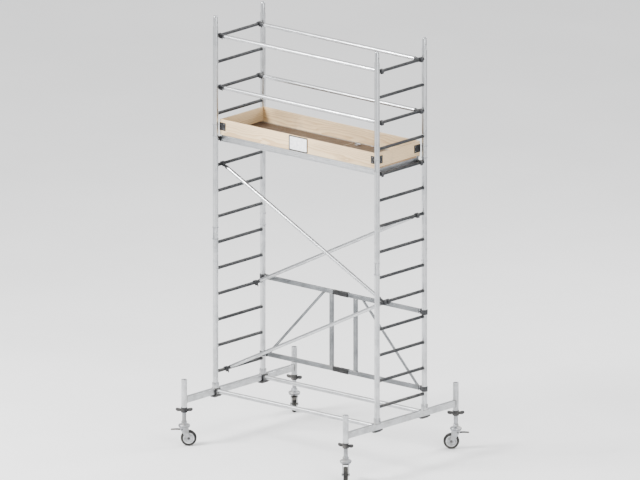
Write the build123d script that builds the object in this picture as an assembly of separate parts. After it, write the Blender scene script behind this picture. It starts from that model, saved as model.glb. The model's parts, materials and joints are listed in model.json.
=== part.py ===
from build123d import *
import os
from math import atan2, degrees, hypot

# Mobile access tower. Millimetres, Z up, origin on the floor at the centre of the four castors.
# X runs along the bay, Y from front (-) to rear (+).

# ---- driving sizes ----
BAY_LENGTH = 2000.0        # post axis to post axis along X
FRAME_WIDTH = 680.0        # post axis to post axis along Y
RUNG_PITCH = 250.0
BEAM_TOP_Z = 470.0         # top of the base beams, where the frames stand
FIRST_RUNG_UP = 155.0      # frame foot to its first rung
LOWER_RUNGS = 6
UPPER_RUNGS = 4
POST_D = 50.0
POST_WALL = 2.0
RUNG_D = 30.0
RUNG_WALL = 2.0

# ---- spigots and interlock clips ----
SPIGOT_SEAT_GAP = 0.1      # radial gap inside the post
SPIGOT_DEPTH = 120.0
SPIGOT_LENGTH = 105.0
SPIGOT_WALL = 4.9          # at the seat
SPIGOT_LEAD = 3.0          # chamfer round the free end
SPIGOT_SHOULDER = 1.0      # the free end is this much slimmer in radius
CLIP_WIRE = 6.0
CLIP_HEIGHT = 60.0

# ---- base ----
BEAM_HEIGHT = 60.0
BEAM_WIDTH = 40.0
BEAM_WALL = 3.0
SLEEVE_OUT = 450.0         # castor sleeve axis outside the post axis
SLEEVE_WALL = 4.0
SLEEVE_GAP = 3.0           # radial, round the spindle
SLEEVE_BELOW = 100.0       # below the beam top
SLEEVE_ABOVE = 170.0       # above the beam top
STUB_WALL = 7.8
STUB_HEIGHT = 50.0
STUB_GAP = 0.2
STRUT_D = 42.0
STRUT_WALL = 2.5
BRACKET_LENGTH = 130.0
BRACKET_DROP = 24.0
BRACKET_CHEEK = 16.0       # thickness of the cheek inside the beam
BRACKET_CHEEK_LENGTH = 65.0

# ---- castors ----
SPINDLE_D = 40.0
SPINDLE_WALL = 7.0
SPINDLE_TOP_SPARE = 20.0   # spindle top below the sleeve top
NUT_RUN_GAP = 0.3          # nut thread to spindle, radial
NUT_HEIGHT = 46.0
NUT_WALL = 10.7
NUT_SPAN = 162.0
NUT_WING = 14.0
NUT_WING_UP = 8.0          # wing foot above the nut's foot
NUT_WING_DOWN = 4.0        # wing top below the nut's top
NUT_TIP_ROUND = 11.0
NUT_SEAT_GAP = 0.5
HEAD_D = 112.0
HEAD_HEIGHT = 22.0
HEAD_ROUND = 7.0
KING_PIN_D = 14.0
KING_PIN_GAP = 0.08        # radial, in the fork crown
KING_HEAD_D = 20.0
KING_HEAD_HEIGHT = 5.0
SOCKET_HEIGHT = 26.0       # spindle foot collar above the swivel head
SOCKET_WALL = 6.0
SWIVEL_GAP = 0.5
FORK_TOP_D = 104.0
FORK_TOP_HEIGHT = 14.0
FORK_PLATE = 5.0
FORK_WIDE = 78.0
FORK_BOSS_D = 42.0         # round the axle
FORK_CLEAR = 25.5          # crown above the top of the wheel
WHEEL_D = 150.0
WHEEL_WIDTH = 44.0
WHEEL_SIDE_GAP = 3.0
TYRE_ROUND = 8.8
HUB_D = 104.0
HUB_RECESS = 8.0
HUB_RIM = 7.0
HUB_BOSS_D = 33.6
AXLE_D = 14.0
AXLE_GAP = 0.06
AXLE_HEAD_D = 23.8
AXLE_HEAD_THICK = 8.0
TRAIL = 42.0
PEDAL_REACH = 127.0
PEDAL_THICK = 8.0
PEDAL_TREAD_GAP = 2.0      # tread to each cheek
PEDAL_TREAD_ROUND = 15.0
PEDAL_EYE_D = 17.6
PEDAL_EYE_GAP = 1.0        # eye to each cheek
PEDAL_PIN_D = 8.0
PEDAL_PIN_DOWN = 15.5      # below the crown of the fork
PEDAL_PIN_BACK = 20.0
PEDAL_GAP = 0.06

# ---- rails, braces and claws ----
RAIL_D = 38.0
BRACE_D = 35.0
TUBE_WALL = 2.0
RAIL_Y_IN = 57.0           # guard rail axis inside the post axis
FRONT_UPPER_IN = 100.0
FRONT_LOWER_IN = 150.0
REAR_BRACE_IN = 110.0
CLAW_WIDTH = 34.0
CLAW_WALL = 8.0
CLAW_GAP = 0.3
CLAW_NECK = 66.0           # rung axis to the end of the tube
CLAW_SEAT = 40.0           # neck length inside the tube
CLAW_SEAT_GAP = 0.1        # radial
TRIGGER_SIZE = 9.0
TRIGGER_GAP = 0.4
TRIGGER_TRAVEL = 14.0
TRIGGER_TAIL = 12.0        # stands out behind the claw
TRIGGER_TIP = 2.0          # past the rung axis
TRIGGER_THUMB = 8.0        # thumb piece below the trigger
TRIGGER_THUMB_THICK = 4.5
TRIGGER_SPARE = 1.0        # slot beyond the travel

# ---- gate ----
GATE_FOOT_RUNG = 0
GATE_FOOT_UP = 30.0        # lower bar axis above the top of its rung
GATE_TOP_RUNG = 3
GATE_TOP_UP = 25.0         # upper bar axis above the top of its rung
GATE_BAR_HIGH = 40.0
GATE_BAR_WIDE = 25.0
GATE_BAR_WALL = 2.0
GATE_UPRIGHT_X = 148.0
GATE_MIDDLE_GAP = 28.0     # between the two leaves, filled by the hinge
GATE_END_GAP = 4.0         # leaf end to bracket
DIAGONAL_D = 25.0
DIAGONAL_FOOT_OUT = 2.0    # its foot beyond the end of the bar
DIAGONAL_HIGH_X = 225.0
LOCK_SLEEVE_LENGTH = 100.0
LOCK_SLEEVE_WALL = 3.5
LOCK_SLEEVE_GAP = 0.4
LOCK_SLEEVE_LEFT = 40.0    # from the middle to its left end
HINGE_PLUG_LENGTH = 45.0
HINGE_PLUG_GAP = 0.2
HINGE_WEB = 10.3           # between a plug and its knuckle
HINGE_PIN_D = 8.0
SHEATH_LENGTH = 85.0
SHEATH_WALL = 1.5
BRACKET_TUBE = 36.0        # clamp to the end of the bar
BRACKET_HIGH = 46.0
BRACKET_NECK_WIDE = 32.0
BRACKET_CLAMP_WALL = 5.8
BRACKET_TONGUE = 30.0      # tongue inside the bar
BRACKET_TONGUE_GAP = 0.3

# ---- platform ----
PLATFORM_RUNG = 9          # counted from the lowest rung, which is 0
SIDE_BEAM_IN = 60.0        # side beam axis inside the post axis
SIDE_BEAM_WIDE = 30.0
SIDE_BEAM_HIGH = 80.0
SIDE_BEAM_WALL = 2.5
DECK_TOP_UP = 60.0         # above the rung axis
DECK_THICK = 12.0
DECK_EDGE_GAP = 0.4
CROSS_HIGH = 50.0
CROSS_WIDE = 30.0
CROSS_LEFT_SHARE = 0.333   # of the way from the middle to the left end
PLATFORM_END_GAP = 34.0    # platform frame end to rung axis
PLATFORM_TONGUE = 60.0     # of each hook, inside its beam
PLATFORM_TONGUE_GAP = 0.2
HATCH_LENGTH = 600.0
HATCH_END_IN = 190.0       # right end of the leaf to the rung axis
HATCH_STRIP = 33.0         # side beam to the edge of the leaf
HATCH_GAP = 4.0
HATCH_REST_GAP = 0.4       # under the leaf
HATCH_PIN_D = 6.0
HATCH_PIN_GAP = 0.08
HATCH_EYE_D = 11.0
HATCH_EYE_LENGTH = 38.0
HATCH_KNUCKLE = 12.0
HATCH_KNUCKLE_GAP = 1.0
HATCH_AXIS_UP = 6.0        # hinge axis above the deck
HATCH_STRAP_START = 3.6    # from the hinge axis
HATCH_STRAP_LENGTH = 34.0
HATCH_STRAP_THICK = 3.0
HATCH_FIXED_START = 11.0
HATCH_FIXED_LENGTH = 27.2
HATCH_HINGE_INSET = 60.0
BOARD_HIGH = 150.0
BOARD_THICK = 15.0
BOARD_SIDE_GAP = 1.5       # side beam to toe board
BOARD_TOP_UP = 200.0       # toe board top above the platform rung axis
END_BOARD_IN = 30.0        # outer face inside the rung axis
END_BOARD_THICK = 16.0
END_BOARD_LIFT = 2.0       # above the deck
BOARD_CLIP_WALL = 3.0
BOARD_CLIP_REACH = 70.0    # along each board
BOARD_CLIP_FOOT = 105.0    # below the top of the boards
BOARD_CLIP_TOP = 30.0
PLATE_LENGTH = 230.0
PLATE_HIGH = 145.0
PLATE_THICK = 3.0
PLATE_RIM = 10.0
PLATE_RECESS = 1.0

# ---- values that follow ----
HALF_BAY = BAY_LENGTH / 2
HALF_WIDTH = FRAME_WIDTH / 2
LOWER_HEIGHT = LOWER_RUNGS * RUNG_PITCH
UPPER_HEIGHT = UPPER_RUNGS * RUNG_PITCH
FRAME_FEET = {
    "lower": BEAM_TOP_Z,
    "middle": BEAM_TOP_Z + LOWER_HEIGHT,
    "upper": BEAM_TOP_Z + LOWER_HEIGHT + UPPER_HEIGHT,
}
FRAME_RUNGS = {"lower": LOWER_RUNGS, "middle": UPPER_RUNGS, "upper": UPPER_RUNGS}
TOWER_TOP_Z = FRAME_FEET["upper"] + UPPER_HEIGHT
FIRST_RUNG_Z = BEAM_TOP_Z + FIRST_RUNG_UP
SIDES = {"left": -1, "right": 1}
ENDS = {"front": -1, "rear": 1}
POST_BORE = POST_D - 2 * POST_WALL
STUB_D = POST_D + 2 * STUB_GAP + 2 * STUB_WALL
BRACKET_CLAMP_D = POST_D + 2 * STUB_GAP + 2 * BRACKET_CLAMP_WALL
SLEEVE_Y = HALF_WIDTH + SLEEVE_OUT
SLEEVE_BORE = SPINDLE_D + 2 * SLEEVE_GAP
SLEEVE_D = SLEEVE_BORE + 2 * SLEEVE_WALL
SLEEVE_FOOT_Z = BEAM_TOP_Z - SLEEVE_BELOW
SLEEVE_TOP_Z = BEAM_TOP_Z + SLEEVE_ABOVE
WHEEL_R = WHEEL_D / 2
RAIL_Y = HALF_WIDTH - RAIL_Y_IN
# rotation of each castor about its swivel axis: the trail points this way
CASTOR_TURN = {
    ("left", "front"): 40.8,
    ("right", "rear"): 220.8,
    ("right", "front"): 310.8,
    ("left", "rear"): 130.8,
}
NUT_TURN = {
    ("left", "front"): 40.8,
    ("right", "rear"): 40.8,
    ("right", "front"): 15.0,
    ("left", "rear"): 15.0,
}


def rung_z(index):
    return FIRST_RUNG_Z + index * RUNG_PITCH


def box(x0, x1, y0, y1, z0, z1):
    """A block between two corners."""
    block = Box(x1 - x0, y1 - y0, z1 - z0)
    return Pos((x0 + x1) / 2, (y0 + y1) / 2, (z0 + z1) / 2) * block


def rod_z(x, y, z0, z1, diameter):
    return Pos(x, y, (z0 + z1) / 2) * Cylinder(diameter / 2, z1 - z0)


def rod_y(x, z, y0, y1, diameter):
    return Pos(x, (y0 + y1) / 2, z) * Rot(90, 0, 0) * Cylinder(diameter / 2, y1 - y0)


def rod_x(y, z, x0, x1, diameter):
    return Pos((x0 + x1) / 2, y, z) * Rot(0, 90, 0) * Cylinder(diameter / 2, x1 - x0)


def rod_between(start, end, diameter):
    """A round bar in a plane of constant Y, from one point to another."""
    run = (end[0] - start[0], end[2] - start[2])
    tilt = degrees(atan2(run[0], run[1]))
    middle = [(a + b) / 2 for a, b in zip(start, end)]
    return Pos(*middle) * Rot(0, tilt, 0) * Cylinder(diameter / 2, hypot(*run))


def save(name, solids):
    """Writes one node: a single solid, or a group of separate ones."""
    pieces = [piece for item in solids for piece in item.solids()]
    shape = pieces[0] if len(pieces) == 1 else Compound(children=pieces)
    export_step(shape, f"parts/{name}.step")


# ---- side ladders ----
def frame_solids(side, level):
    x = SIDES[side] * HALF_BAY
    foot = FRAME_FEET[level]
    count = FRAME_RUNGS[level]
    top = foot + count * RUNG_PITCH
    posts = []
    rungs = []
    for sign in ENDS.values():
        y = sign * HALF_WIDTH
        posts.append(rod_z(x, y, foot, top, POST_D) - rod_z(x, y, foot, top, POST_BORE))
    for index in range(count):
        z = foot + FIRST_RUNG_UP + index * RUNG_PITCH
        rung = rod_y(x, z, -HALF_WIDTH, HALF_WIDTH, RUNG_D)
        rung -= rod_y(x, z, -HALF_WIDTH, HALF_WIDTH, RUNG_D - 2 * RUNG_WALL)
        for sign in ENDS.values():
            rung -= rod_z(x, sign * HALF_WIDTH, z - RUNG_PITCH / 2, z + RUNG_PITCH / 2, POST_D)
        rungs.append(rung)
    return posts + rungs


def spigot(x, y, joint_z):
    """A tube held in the top of a post, its slimmer free end standing above it."""
    seat_d = POST_BORE - 2 * SPIGOT_SEAT_GAP
    free_d = seat_d - 2 * SPIGOT_SHOULDER
    body = rod_z(x, y, joint_z - SPIGOT_DEPTH, joint_z, seat_d)
    body += rod_z(x, y, joint_z, joint_z + SPIGOT_LENGTH, free_d)
    rim = body.edges().filter_by(GeomType.CIRCLE).group_by(Axis.Z)[-1]
    body = chamfer(rim, SPIGOT_LEAD)
    bore = seat_d - 2 * SPIGOT_WALL
    return body - rod_z(x, y, joint_z - SPIGOT_DEPTH, joint_z + SPIGOT_LENGTH, bore)


def spigots():
    joints = [FRAME_FEET["middle"], FRAME_FEET["upper"], TOWER_TOP_Z]
    return [
        spigot(sx * HALF_BAY, sy * HALF_WIDTH, z)
        for sx in SIDES.values() for sy in ENDS.values() for z in joints
    ]


def interlock_clip(sx, sy, joint_z):
    """A sprung wire loop round the outside of a joint, open towards the rung."""
    x = sx * HALF_BAY
    y = sy * HALF_WIDTH
    reach = POST_D / 2 + CLIP_WIRE
    ring = rod_z(x, y, joint_z - CLIP_HEIGHT, joint_z - CLIP_HEIGHT + CLIP_WIRE, 2 * reach)
    ring += rod_z(x, y, joint_z + CLIP_HEIGHT - CLIP_WIRE, joint_z + CLIP_HEIGHT, 2 * reach)
    bar_y = sorted((y + sy * POST_D / 2, y + sy * reach))
    ring += box(x - CLIP_WIRE / 2, x + CLIP_WIRE / 2, *bar_y, joint_z - CLIP_HEIGHT, joint_z + CLIP_HEIGHT)
    return ring - rod_z(x, y, joint_z - 2 * CLIP_HEIGHT, joint_z + 2 * CLIP_HEIGHT, POST_D)


def interlock_clips():
    joints = [FRAME_FEET["middle"], FRAME_FEET["upper"]]
    return [
        interlock_clip(sx, sy, z) for sx in SIDES.values() for sy in ENDS.values() for z in joints
    ]


# ---- base ----
def base_beam(side):
    """A rectangular tube between two castor sleeves, with the stubs that the frame stands in."""
    x = SIDES[side] * HALF_BAY
    half = BEAM_WIDTH / 2
    foot = BEAM_TOP_Z - BEAM_HEIGHT
    core = half - BEAM_WALL
    beam = box(x - half, x + half, -SLEEVE_Y, SLEEVE_Y, foot, BEAM_TOP_Z)
    beam -= box(x - core, x + core, -SLEEVE_Y, SLEEVE_Y, foot + BEAM_WALL, BEAM_TOP_Z - BEAM_WALL)
    solids = []
    for sign in ENDS.values():
        y = sign * SLEEVE_Y
        sleeve = rod_z(x, y, SLEEVE_FOOT_Z, SLEEVE_TOP_Z, SLEEVE_D)
        beam -= sleeve
        solids.append(sleeve - rod_z(x, y, SLEEVE_FOOT_Z, SLEEVE_TOP_Z, SLEEVE_BORE))
    solids.append(beam)
    for sign in ENDS.values():
        y = sign * HALF_WIDTH
        stub = rod_z(x, y, BEAM_TOP_Z, BEAM_TOP_Z + STUB_HEIGHT, STUB_D)
        stub -= rod_z(x, y, BEAM_TOP_Z, BEAM_TOP_Z + STUB_HEIGHT, POST_D + 2 * STUB_GAP)
        solids.append(stub)
    return solids


def strut_bracket(sx, sy):
    """A saddle under the beam with a cheek on its inner face that the base strut ends on."""
    x = sx * HALF_BAY
    y = sy * HALF_WIDTH
    low = BEAM_TOP_Z - BEAM_HEIGHT
    half = BRACKET_LENGTH / 2
    inner = x - sx * BEAM_WIDTH / 2
    cheek_in = inner - sx * BRACKET_CHEEK
    cheek_x = sorted((inner, cheek_in))
    saddle_x = sorted((x + sx * BEAM_WIDTH / 2, cheek_in))
    saddle = box(*saddle_x, y - half, y + half, low - BRACKET_DROP, low)
    cheek_half = BRACKET_CHEEK_LENGTH / 2
    return saddle + box(*cheek_x, y - cheek_half, y + cheek_half, low, BEAM_TOP_Z)


def strut_brackets():
    return [strut_bracket(sx, sy) for sx in SIDES.values() for sy in ENDS.values()]


def base_strut(sy):
    y = sy * HALF_WIDTH
    z = BEAM_TOP_Z - BEAM_HEIGHT / 2
    reach = HALF_BAY - BEAM_WIDTH / 2 - BRACKET_CHEEK
    return rod_x(y, z, -reach, reach, STRUT_D) - rod_x(y, z, -reach, reach, STRUT_D - 2 * STRUT_WALL)


# ---- castors ----
CROWN_FOOT_Z = WHEEL_D + FORK_CLEAR
FORK_TOP_Z = CROWN_FOOT_Z + FORK_TOP_HEIGHT
HEAD_FOOT_Z = FORK_TOP_Z + SWIVEL_GAP
HEAD_TOP_Z = HEAD_FOOT_Z + HEAD_HEIGHT
SPINDLE_TOP_Z = SLEEVE_TOP_Z - SPINDLE_TOP_SPARE
PEDAL_PIN_Z = CROWN_FOOT_Z - PEDAL_PIN_DOWN
CHEEK_IN = WHEEL_WIDTH / 2 + WHEEL_SIDE_GAP
CHEEK_OUT = CHEEK_IN + FORK_PLATE


def castor_place(side, end):
    x = SIDES[side] * HALF_BAY
    y = ENDS[end] * SLEEVE_Y
    return Pos(x, y, 0) * Rot(0, 0, CASTOR_TURN[side, end])


def spindle():
    """Threaded tube with the swivel head at its foot: the head is held, the fork turns under it."""
    tube = rod_z(0, 0, HEAD_TOP_Z, SPINDLE_TOP_Z, SPINDLE_D)
    tube -= rod_z(0, 0, HEAD_TOP_Z, SPINDLE_TOP_Z, SPINDLE_D - 2 * SPINDLE_WALL)
    collar_d = SPINDLE_D + 2 * SOCKET_WALL
    collar = rod_z(0, 0, HEAD_TOP_Z, HEAD_TOP_Z + SOCKET_HEIGHT, collar_d)
    collar -= rod_z(0, 0, HEAD_TOP_Z, HEAD_TOP_Z + SOCKET_HEIGHT, SPINDLE_D)
    head = rod_z(0, 0, HEAD_FOOT_Z, HEAD_TOP_Z, HEAD_D)
    head = fillet(head.edges().group_by(Axis.Z)[-1], HEAD_ROUND)
    pin_foot = CROWN_FOOT_Z - SWIVEL_GAP
    head += rod_z(0, 0, pin_foot, HEAD_FOOT_Z, KING_PIN_D)
    head += rod_z(0, 0, pin_foot - KING_HEAD_HEIGHT, pin_foot, KING_HEAD_D)
    return [tube, collar, head]


def spindle_nut():
    """A nut under the sleeve with two round-ended wings."""
    top = SLEEVE_FOOT_Z - NUT_SEAT_GAP
    foot = top - NUT_HEIGHT
    half = NUT_SPAN / 2
    bore = SPINDLE_D + 2 * NUT_RUN_GAP
    wings = box(-half, half, -NUT_WING / 2, NUT_WING / 2, foot + NUT_WING_UP, top - NUT_WING_DOWN)
    wings = fillet(wings.edges().filter_by(Axis.Y), NUT_TIP_ROUND)
    nut = rod_z(0, 0, foot, top, bore + 2 * NUT_WALL) + wings
    return nut - rod_z(0, 0, foot, top, bore)


def fork():
    """Crown plate and two cheeks that carry the axle beside the wheel."""
    shape = rod_z(0, 0, CROWN_FOOT_Z, FORK_TOP_Z, FORK_TOP_D)
    boss = Pos(TRAIL, WHEEL_R) * Circle(FORK_BOSS_D / 2)
    root = Pos(0, CROWN_FOOT_Z - FORK_PLATE / 2) * Rectangle(FORK_WIDE, FORK_PLATE)
    outline = make_hull([*boss.edges(), *root.edges()])
    plate = extrude(Plane.XZ * outline, FORK_PLATE)
    plate_top = plate.bounding_box().max.Y
    for outer in (-CHEEK_IN, CHEEK_OUT):
        shape += Pos(0, outer - plate_top, 0) * plate
    shape -= rod_z(0, 0, CROWN_FOOT_Z, FORK_TOP_Z, KING_PIN_D + 2 * KING_PIN_GAP)
    shape -= rod_y(TRAIL, WHEEL_R, -HEAD_D, HEAD_D, AXLE_D)
    shape -= rod_y(-PEDAL_PIN_BACK, PEDAL_PIN_Z, -HEAD_D, HEAD_D, PEDAL_PIN_D)
    return shape


def axle():
    """Axle bolt through both cheeks, with a flat head at each end."""
    bolt = rod_y(TRAIL, WHEEL_R, -CHEEK_OUT, CHEEK_OUT, AXLE_D)
    for sign in (-1, 1):
        y0, y1 = sorted((sign * CHEEK_OUT, sign * (CHEEK_OUT + AXLE_HEAD_THICK)))
        bolt += rod_y(TRAIL, WHEEL_R, y0, y1, AXLE_HEAD_D)
    return bolt


def pedal_pin():
    return rod_y(-PEDAL_PIN_BACK, PEDAL_PIN_Z, -CHEEK_OUT, CHEEK_OUT, PEDAL_PIN_D)


def tyre():
    ring = rod_y(TRAIL, WHEEL_R, -WHEEL_WIDTH / 2, WHEEL_WIDTH / 2, WHEEL_D)
    ring = fillet(ring.edges().filter_by(GeomType.CIRCLE), TYRE_ROUND)
    return ring - rod_y(TRAIL, WHEEL_R, -WHEEL_WIDTH, WHEEL_WIDTH, HUB_D)


def wheel_hub():
    half = WHEEL_WIDTH / 2
    disc = rod_y(TRAIL, WHEEL_R, -half, half, HUB_D)
    for sign in (-1, 1):
        y0, y1 = sorted((sign * half, sign * (half - HUB_RECESS)))
        recess = rod_y(TRAIL, WHEEL_R, y0, y1, HUB_D - 2 * HUB_RIM)
        disc -= recess - rod_y(TRAIL, WHEEL_R, y0, y1, HUB_BOSS_D)
    return disc - rod_y(TRAIL, WHEEL_R, -half, half, AXLE_D + 2 * AXLE_GAP)


def brake_pedal():
    """A pedal on its own pin behind the wheel: an eye, an arm and a tread."""
    reach = CHEEK_IN - PEDAL_EYE_GAP
    half = CHEEK_IN - PEDAL_TREAD_GAP
    eye = rod_y(-PEDAL_PIN_BACK, PEDAL_PIN_Z, -reach, reach, PEDAL_EYE_D)
    tread = box(-PEDAL_REACH, -PEDAL_PIN_BACK, -half, half, PEDAL_PIN_Z - PEDAL_THICK, PEDAL_PIN_Z)
    tread = fillet(tread.edges().filter_by(Axis.Z).group_by(Axis.X)[0], PEDAL_TREAD_ROUND)
    bore = PEDAL_PIN_D + 2 * PEDAL_GAP
    return eye + tread - rod_y(-PEDAL_PIN_BACK, PEDAL_PIN_Z, -HEAD_D, HEAD_D, bore)


# ---- rails, braces and their claws ----
TIES = {
    "front_upper_rail": (-RAIL_Y, 13, 13, RAIL_D),
    "front_lower_rail": (-RAIL_Y, 11, 11, RAIL_D),
    "rear_upper_rail": (RAIL_Y, 13, 13, RAIL_D),
    "rear_lower_rail": (RAIL_Y, 11, 11, RAIL_D),
    "front_upper_brace": (-(HALF_WIDTH - FRONT_UPPER_IN), 8, 4, BRACE_D),
    "front_lower_brace": (-(HALF_WIDTH - FRONT_LOWER_IN), 0, 4, BRACE_D),
    "rear_brace": (HALF_WIDTH - REAR_BRACE_IN, 3, 7, BRACE_D),
}
CLAW_D = RUNG_D + 2 * CLAW_GAP + 2 * CLAW_WALL


def tie_slope(name):
    _, left, right, _ = TIES[name]
    return (right - left) * RUNG_PITCH / BAY_LENGTH


def tie_end(name, side):
    """The point on the rung axis where a tie hooks on."""
    y, left, right, _ = TIES[name]
    return SIDES[side] * HALF_BAY, y, rung_z(left if side == "left" else right)


def tie_tube(name):
    """A tube between the two claws, each end CLAW_NECK inside the rung axis."""
    y, left, _, diameter = TIES[name]
    slope = tie_slope(name)
    middle = rung_z(left) + slope * HALF_BAY
    reach = HALF_BAY - CLAW_NECK
    start = (-reach, y, middle - slope * reach)
    end = (reach, y, middle + slope * reach)
    return rod_between(start, end, diameter) - rod_between(start, end, diameter - 2 * TUBE_WALL)


def claw(name, side):
    """A hook over the rung: closed above, its mouth open downwards, with a neck to the tube."""
    diameter = TIES[name][-1]
    sx = SIDES[side]
    x, y, z = tie_end(name, side)
    half = CLAW_WIDTH / 2
    slope = tie_slope(name)
    reach = CLAW_NECK + CLAW_SEAT
    neck_start = (x, y, z)
    neck_end = (x - sx * reach, y, z - sx * slope * reach)
    body = rod_y(x, z, y - half, y + half, CLAW_D)
    body += box(x - CLAW_D / 2, x + CLAW_D / 2, y - half, y + half, z - RUNG_D / 2 - TRIGGER_SIZE, z)
    body += rod_between(neck_start, neck_end, diameter - 2 * TUBE_WALL - 2 * CLAW_SEAT_GAP)
    mouth = RUNG_D + 2 * CLAW_GAP
    body -= rod_y(x, z, y - half, y + half, mouth)
    body -= box(x - mouth / 2, x + mouth / 2, y - half, y + half, z - CLAW_D, z)
    return body - trigger_space(x, sx, y, z)


TRIGGER_TOP_DOWN = RUNG_D / 2 + CLAW_GAP + TRIGGER_GAP     # below the rung axis
TRIGGER_TAIL_IN = CLAW_D / 2 + TRIGGER_TAIL                # inside the rung axis


def trigger_space(x, sx, y, z):
    """The slot under the rung that the trigger and its thumb piece slide in, towards the middle."""
    half = TRIGGER_SIZE / 2 + TRIGGER_GAP
    top = z - TRIGGER_TOP_DOWN + TRIGGER_GAP
    foot = z - TRIGGER_TOP_DOWN - TRIGGER_SIZE - TRIGGER_THUMB - TRIGGER_GAP
    tail = TRIGGER_TAIL_IN + TRIGGER_TRAVEL + TRIGGER_SPARE
    x0, x1 = sorted((x + sx * (TRIGGER_TIP + TRIGGER_GAP), x - sx * tail))
    return box(x0, x1, y - half, y + half, foot, top)


def trigger(name, side):
    """A bar that closes the mouth of its claw, with a thumb piece hanging from its tail."""
    sx = SIDES[side]
    x, y, z = tie_end(name, side)
    top = z - TRIGGER_TOP_DOWN
    half = TRIGGER_SIZE / 2
    tail = x - sx * TRIGGER_TAIL_IN
    x0, x1 = sorted((x + sx * TRIGGER_TIP, tail))
    bar = box(x0, x1, y - half, y + half, top - TRIGGER_SIZE, top)
    k0, k1 = sorted((tail, tail + sx * TRIGGER_THUMB_THICK))
    return bar + box(k0, k1, y - half, y + half, top - TRIGGER_SIZE - TRIGGER_THUMB, top)


def claws(kind):
    return [claw(name, side) for name in TIES if kind in name for side in SIDES]


def triggers(side):
    return [trigger(name, side) for name in TIES]


# ---- gate in the rear plane ----
GATE_FOOT_Z = rung_z(GATE_FOOT_RUNG) + RUNG_D / 2 + GATE_FOOT_UP
GATE_TOP_Z = rung_z(GATE_TOP_RUNG) + RUNG_D / 2 + GATE_TOP_UP
GATE_END_X = HALF_BAY - BRACKET_CLAMP_D / 2 - BRACKET_TUBE


def gate_bar(x0, x1, z):
    """A rectangular tube along X in the rear plane."""
    y = HALF_WIDTH
    wide = GATE_BAR_WIDE / 2
    high = GATE_BAR_HIGH / 2
    bar = box(x0, x1, y - wide, y + wide, z - high, z + high)
    wall = GATE_BAR_WALL
    return bar - box(x0, x1, y - wide + wall, y + wide - wall, z - high + wall, z + high - wall)


def gate_upright(x):
    y = HALF_WIDTH
    half = GATE_BAR_HIGH / 2
    wide = GATE_BAR_WIDE / 2
    wall = GATE_BAR_WALL
    foot = GATE_FOOT_Z + half
    top = GATE_TOP_Z - half
    upright = box(x - half, x + half, y - wide, y + wide, foot, top)
    return upright - box(x - half + wall, x + half - wall, y - wide + wall, y + wide - wall, foot, top)


def gate_diagonal(sx):
    y = HALF_WIDTH
    half = GATE_BAR_HIGH / 2
    low = (sx * (GATE_END_X + DIAGONAL_FOOT_OUT), y, GATE_FOOT_Z)
    top = (sx * DIAGONAL_HIGH_X, y, GATE_TOP_Z)
    between_bars = box(
        -HALF_BAY, HALF_BAY, y - DIAGONAL_D, y + DIAGONAL_D, GATE_FOOT_Z + half, GATE_TOP_Z - half
    )
    return rod_between(low, top, DIAGONAL_D) & between_bars


def gate_leaf(sx):
    """Two bars from the middle hinge to the post bracket, with an upright and a diagonal between."""
    x0, x1 = sorted((sx * GATE_MIDDLE_GAP / 2, sx * GATE_END_X))
    bars = [gate_bar(x0, x1, z) for z in (GATE_FOOT_Z, GATE_TOP_Z)]
    return bars + [gate_upright(sx * GATE_UPRIGHT_X), gate_diagonal(sx)]


def gate_bracket(sx, z):
    """A clamp round the rear post with a pivot pin that the end of a gate bar turns on."""
    x = sx * HALF_BAY
    y = HALF_WIDTH
    high = BRACKET_HIGH / 2
    clamp = rod_z(x, y, z - high, z + high, BRACKET_CLAMP_D)
    x0, x1 = sorted((x, sx * (GATE_END_X - BRACKET_TONGUE)))
    core = GATE_BAR_WIDE / 2 - GATE_BAR_WALL - BRACKET_TONGUE_GAP
    rise = GATE_BAR_HIGH / 2 - GATE_BAR_WALL - BRACKET_TONGUE_GAP
    tongue = box(x0, x1, y - core, y + core, z - rise, z + rise)
    n0, n1 = sorted((x, sx * (GATE_END_X + GATE_END_GAP)))
    half = BRACKET_NECK_WIDE / 2
    neck = box(n0, n1, y - half, y + half, z - high, z + high)
    return clamp + tongue + neck - rod_z(x, y, z - high, z + high, POST_D + 2 * STUB_GAP)


def gate_brackets():
    return [gate_bracket(sx, z) for sx in SIDES.values() for z in (GATE_FOOT_Z, GATE_TOP_Z)]


def gate_hinge(z):
    """Two plugs in the ends of the bars with interleaved knuckles, their pin, and a stop sheath."""
    y = HALF_WIDTH
    core = GATE_BAR_WIDE / 2 - GATE_BAR_WALL - HINGE_PLUG_GAP
    rise = GATE_BAR_HIGH / 2 - GATE_BAR_WALL - HINGE_PLUG_GAP
    third = rise / 3
    knuckle = rod_z(0, y, z - rise, z + rise, 2 * core)
    band = box(-core, core, y - core, y + core, z - third, z + third)
    half_gap = GATE_MIDDLE_GAP / 2
    left = box(-half_gap - HINGE_PLUG_LENGTH, -core, y - core, y + core, z - rise, z + rise)
    right = box(core, half_gap + HINGE_PLUG_LENGTH, y - core, y + core, z - rise, z + rise)
    web = HINGE_WEB / 2
    left += box(-core, 0, y - web, y + web, z - rise, z + rise) - band
    right += box(0, core, y - web, y + web, z - third, z + third)
    hole = rod_z(0, y, z - rise, z + rise, HINGE_PIN_D)
    left += knuckle - band
    right += knuckle & band
    return [left - hole, right - hole, hole, gate_sheath(z)]


def gate_sheath(z):
    """A thin sheath on the left bar, which the locking sleeve closes against."""
    y = HALF_WIDTH
    wide = GATE_BAR_WIDE / 2
    high = GATE_BAR_HIGH / 2
    wall = SHEATH_WALL
    x1 = -LOCK_SLEEVE_LEFT - LOCK_SLEEVE_GAP
    x0 = x1 - SHEATH_LENGTH
    block = box(x0, x1, y - wide - wall, y + wide + wall, z - high - wall, z + high + wall)
    return block - box(x0, x1, y - wide, y + wide, z - high, z + high)


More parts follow.
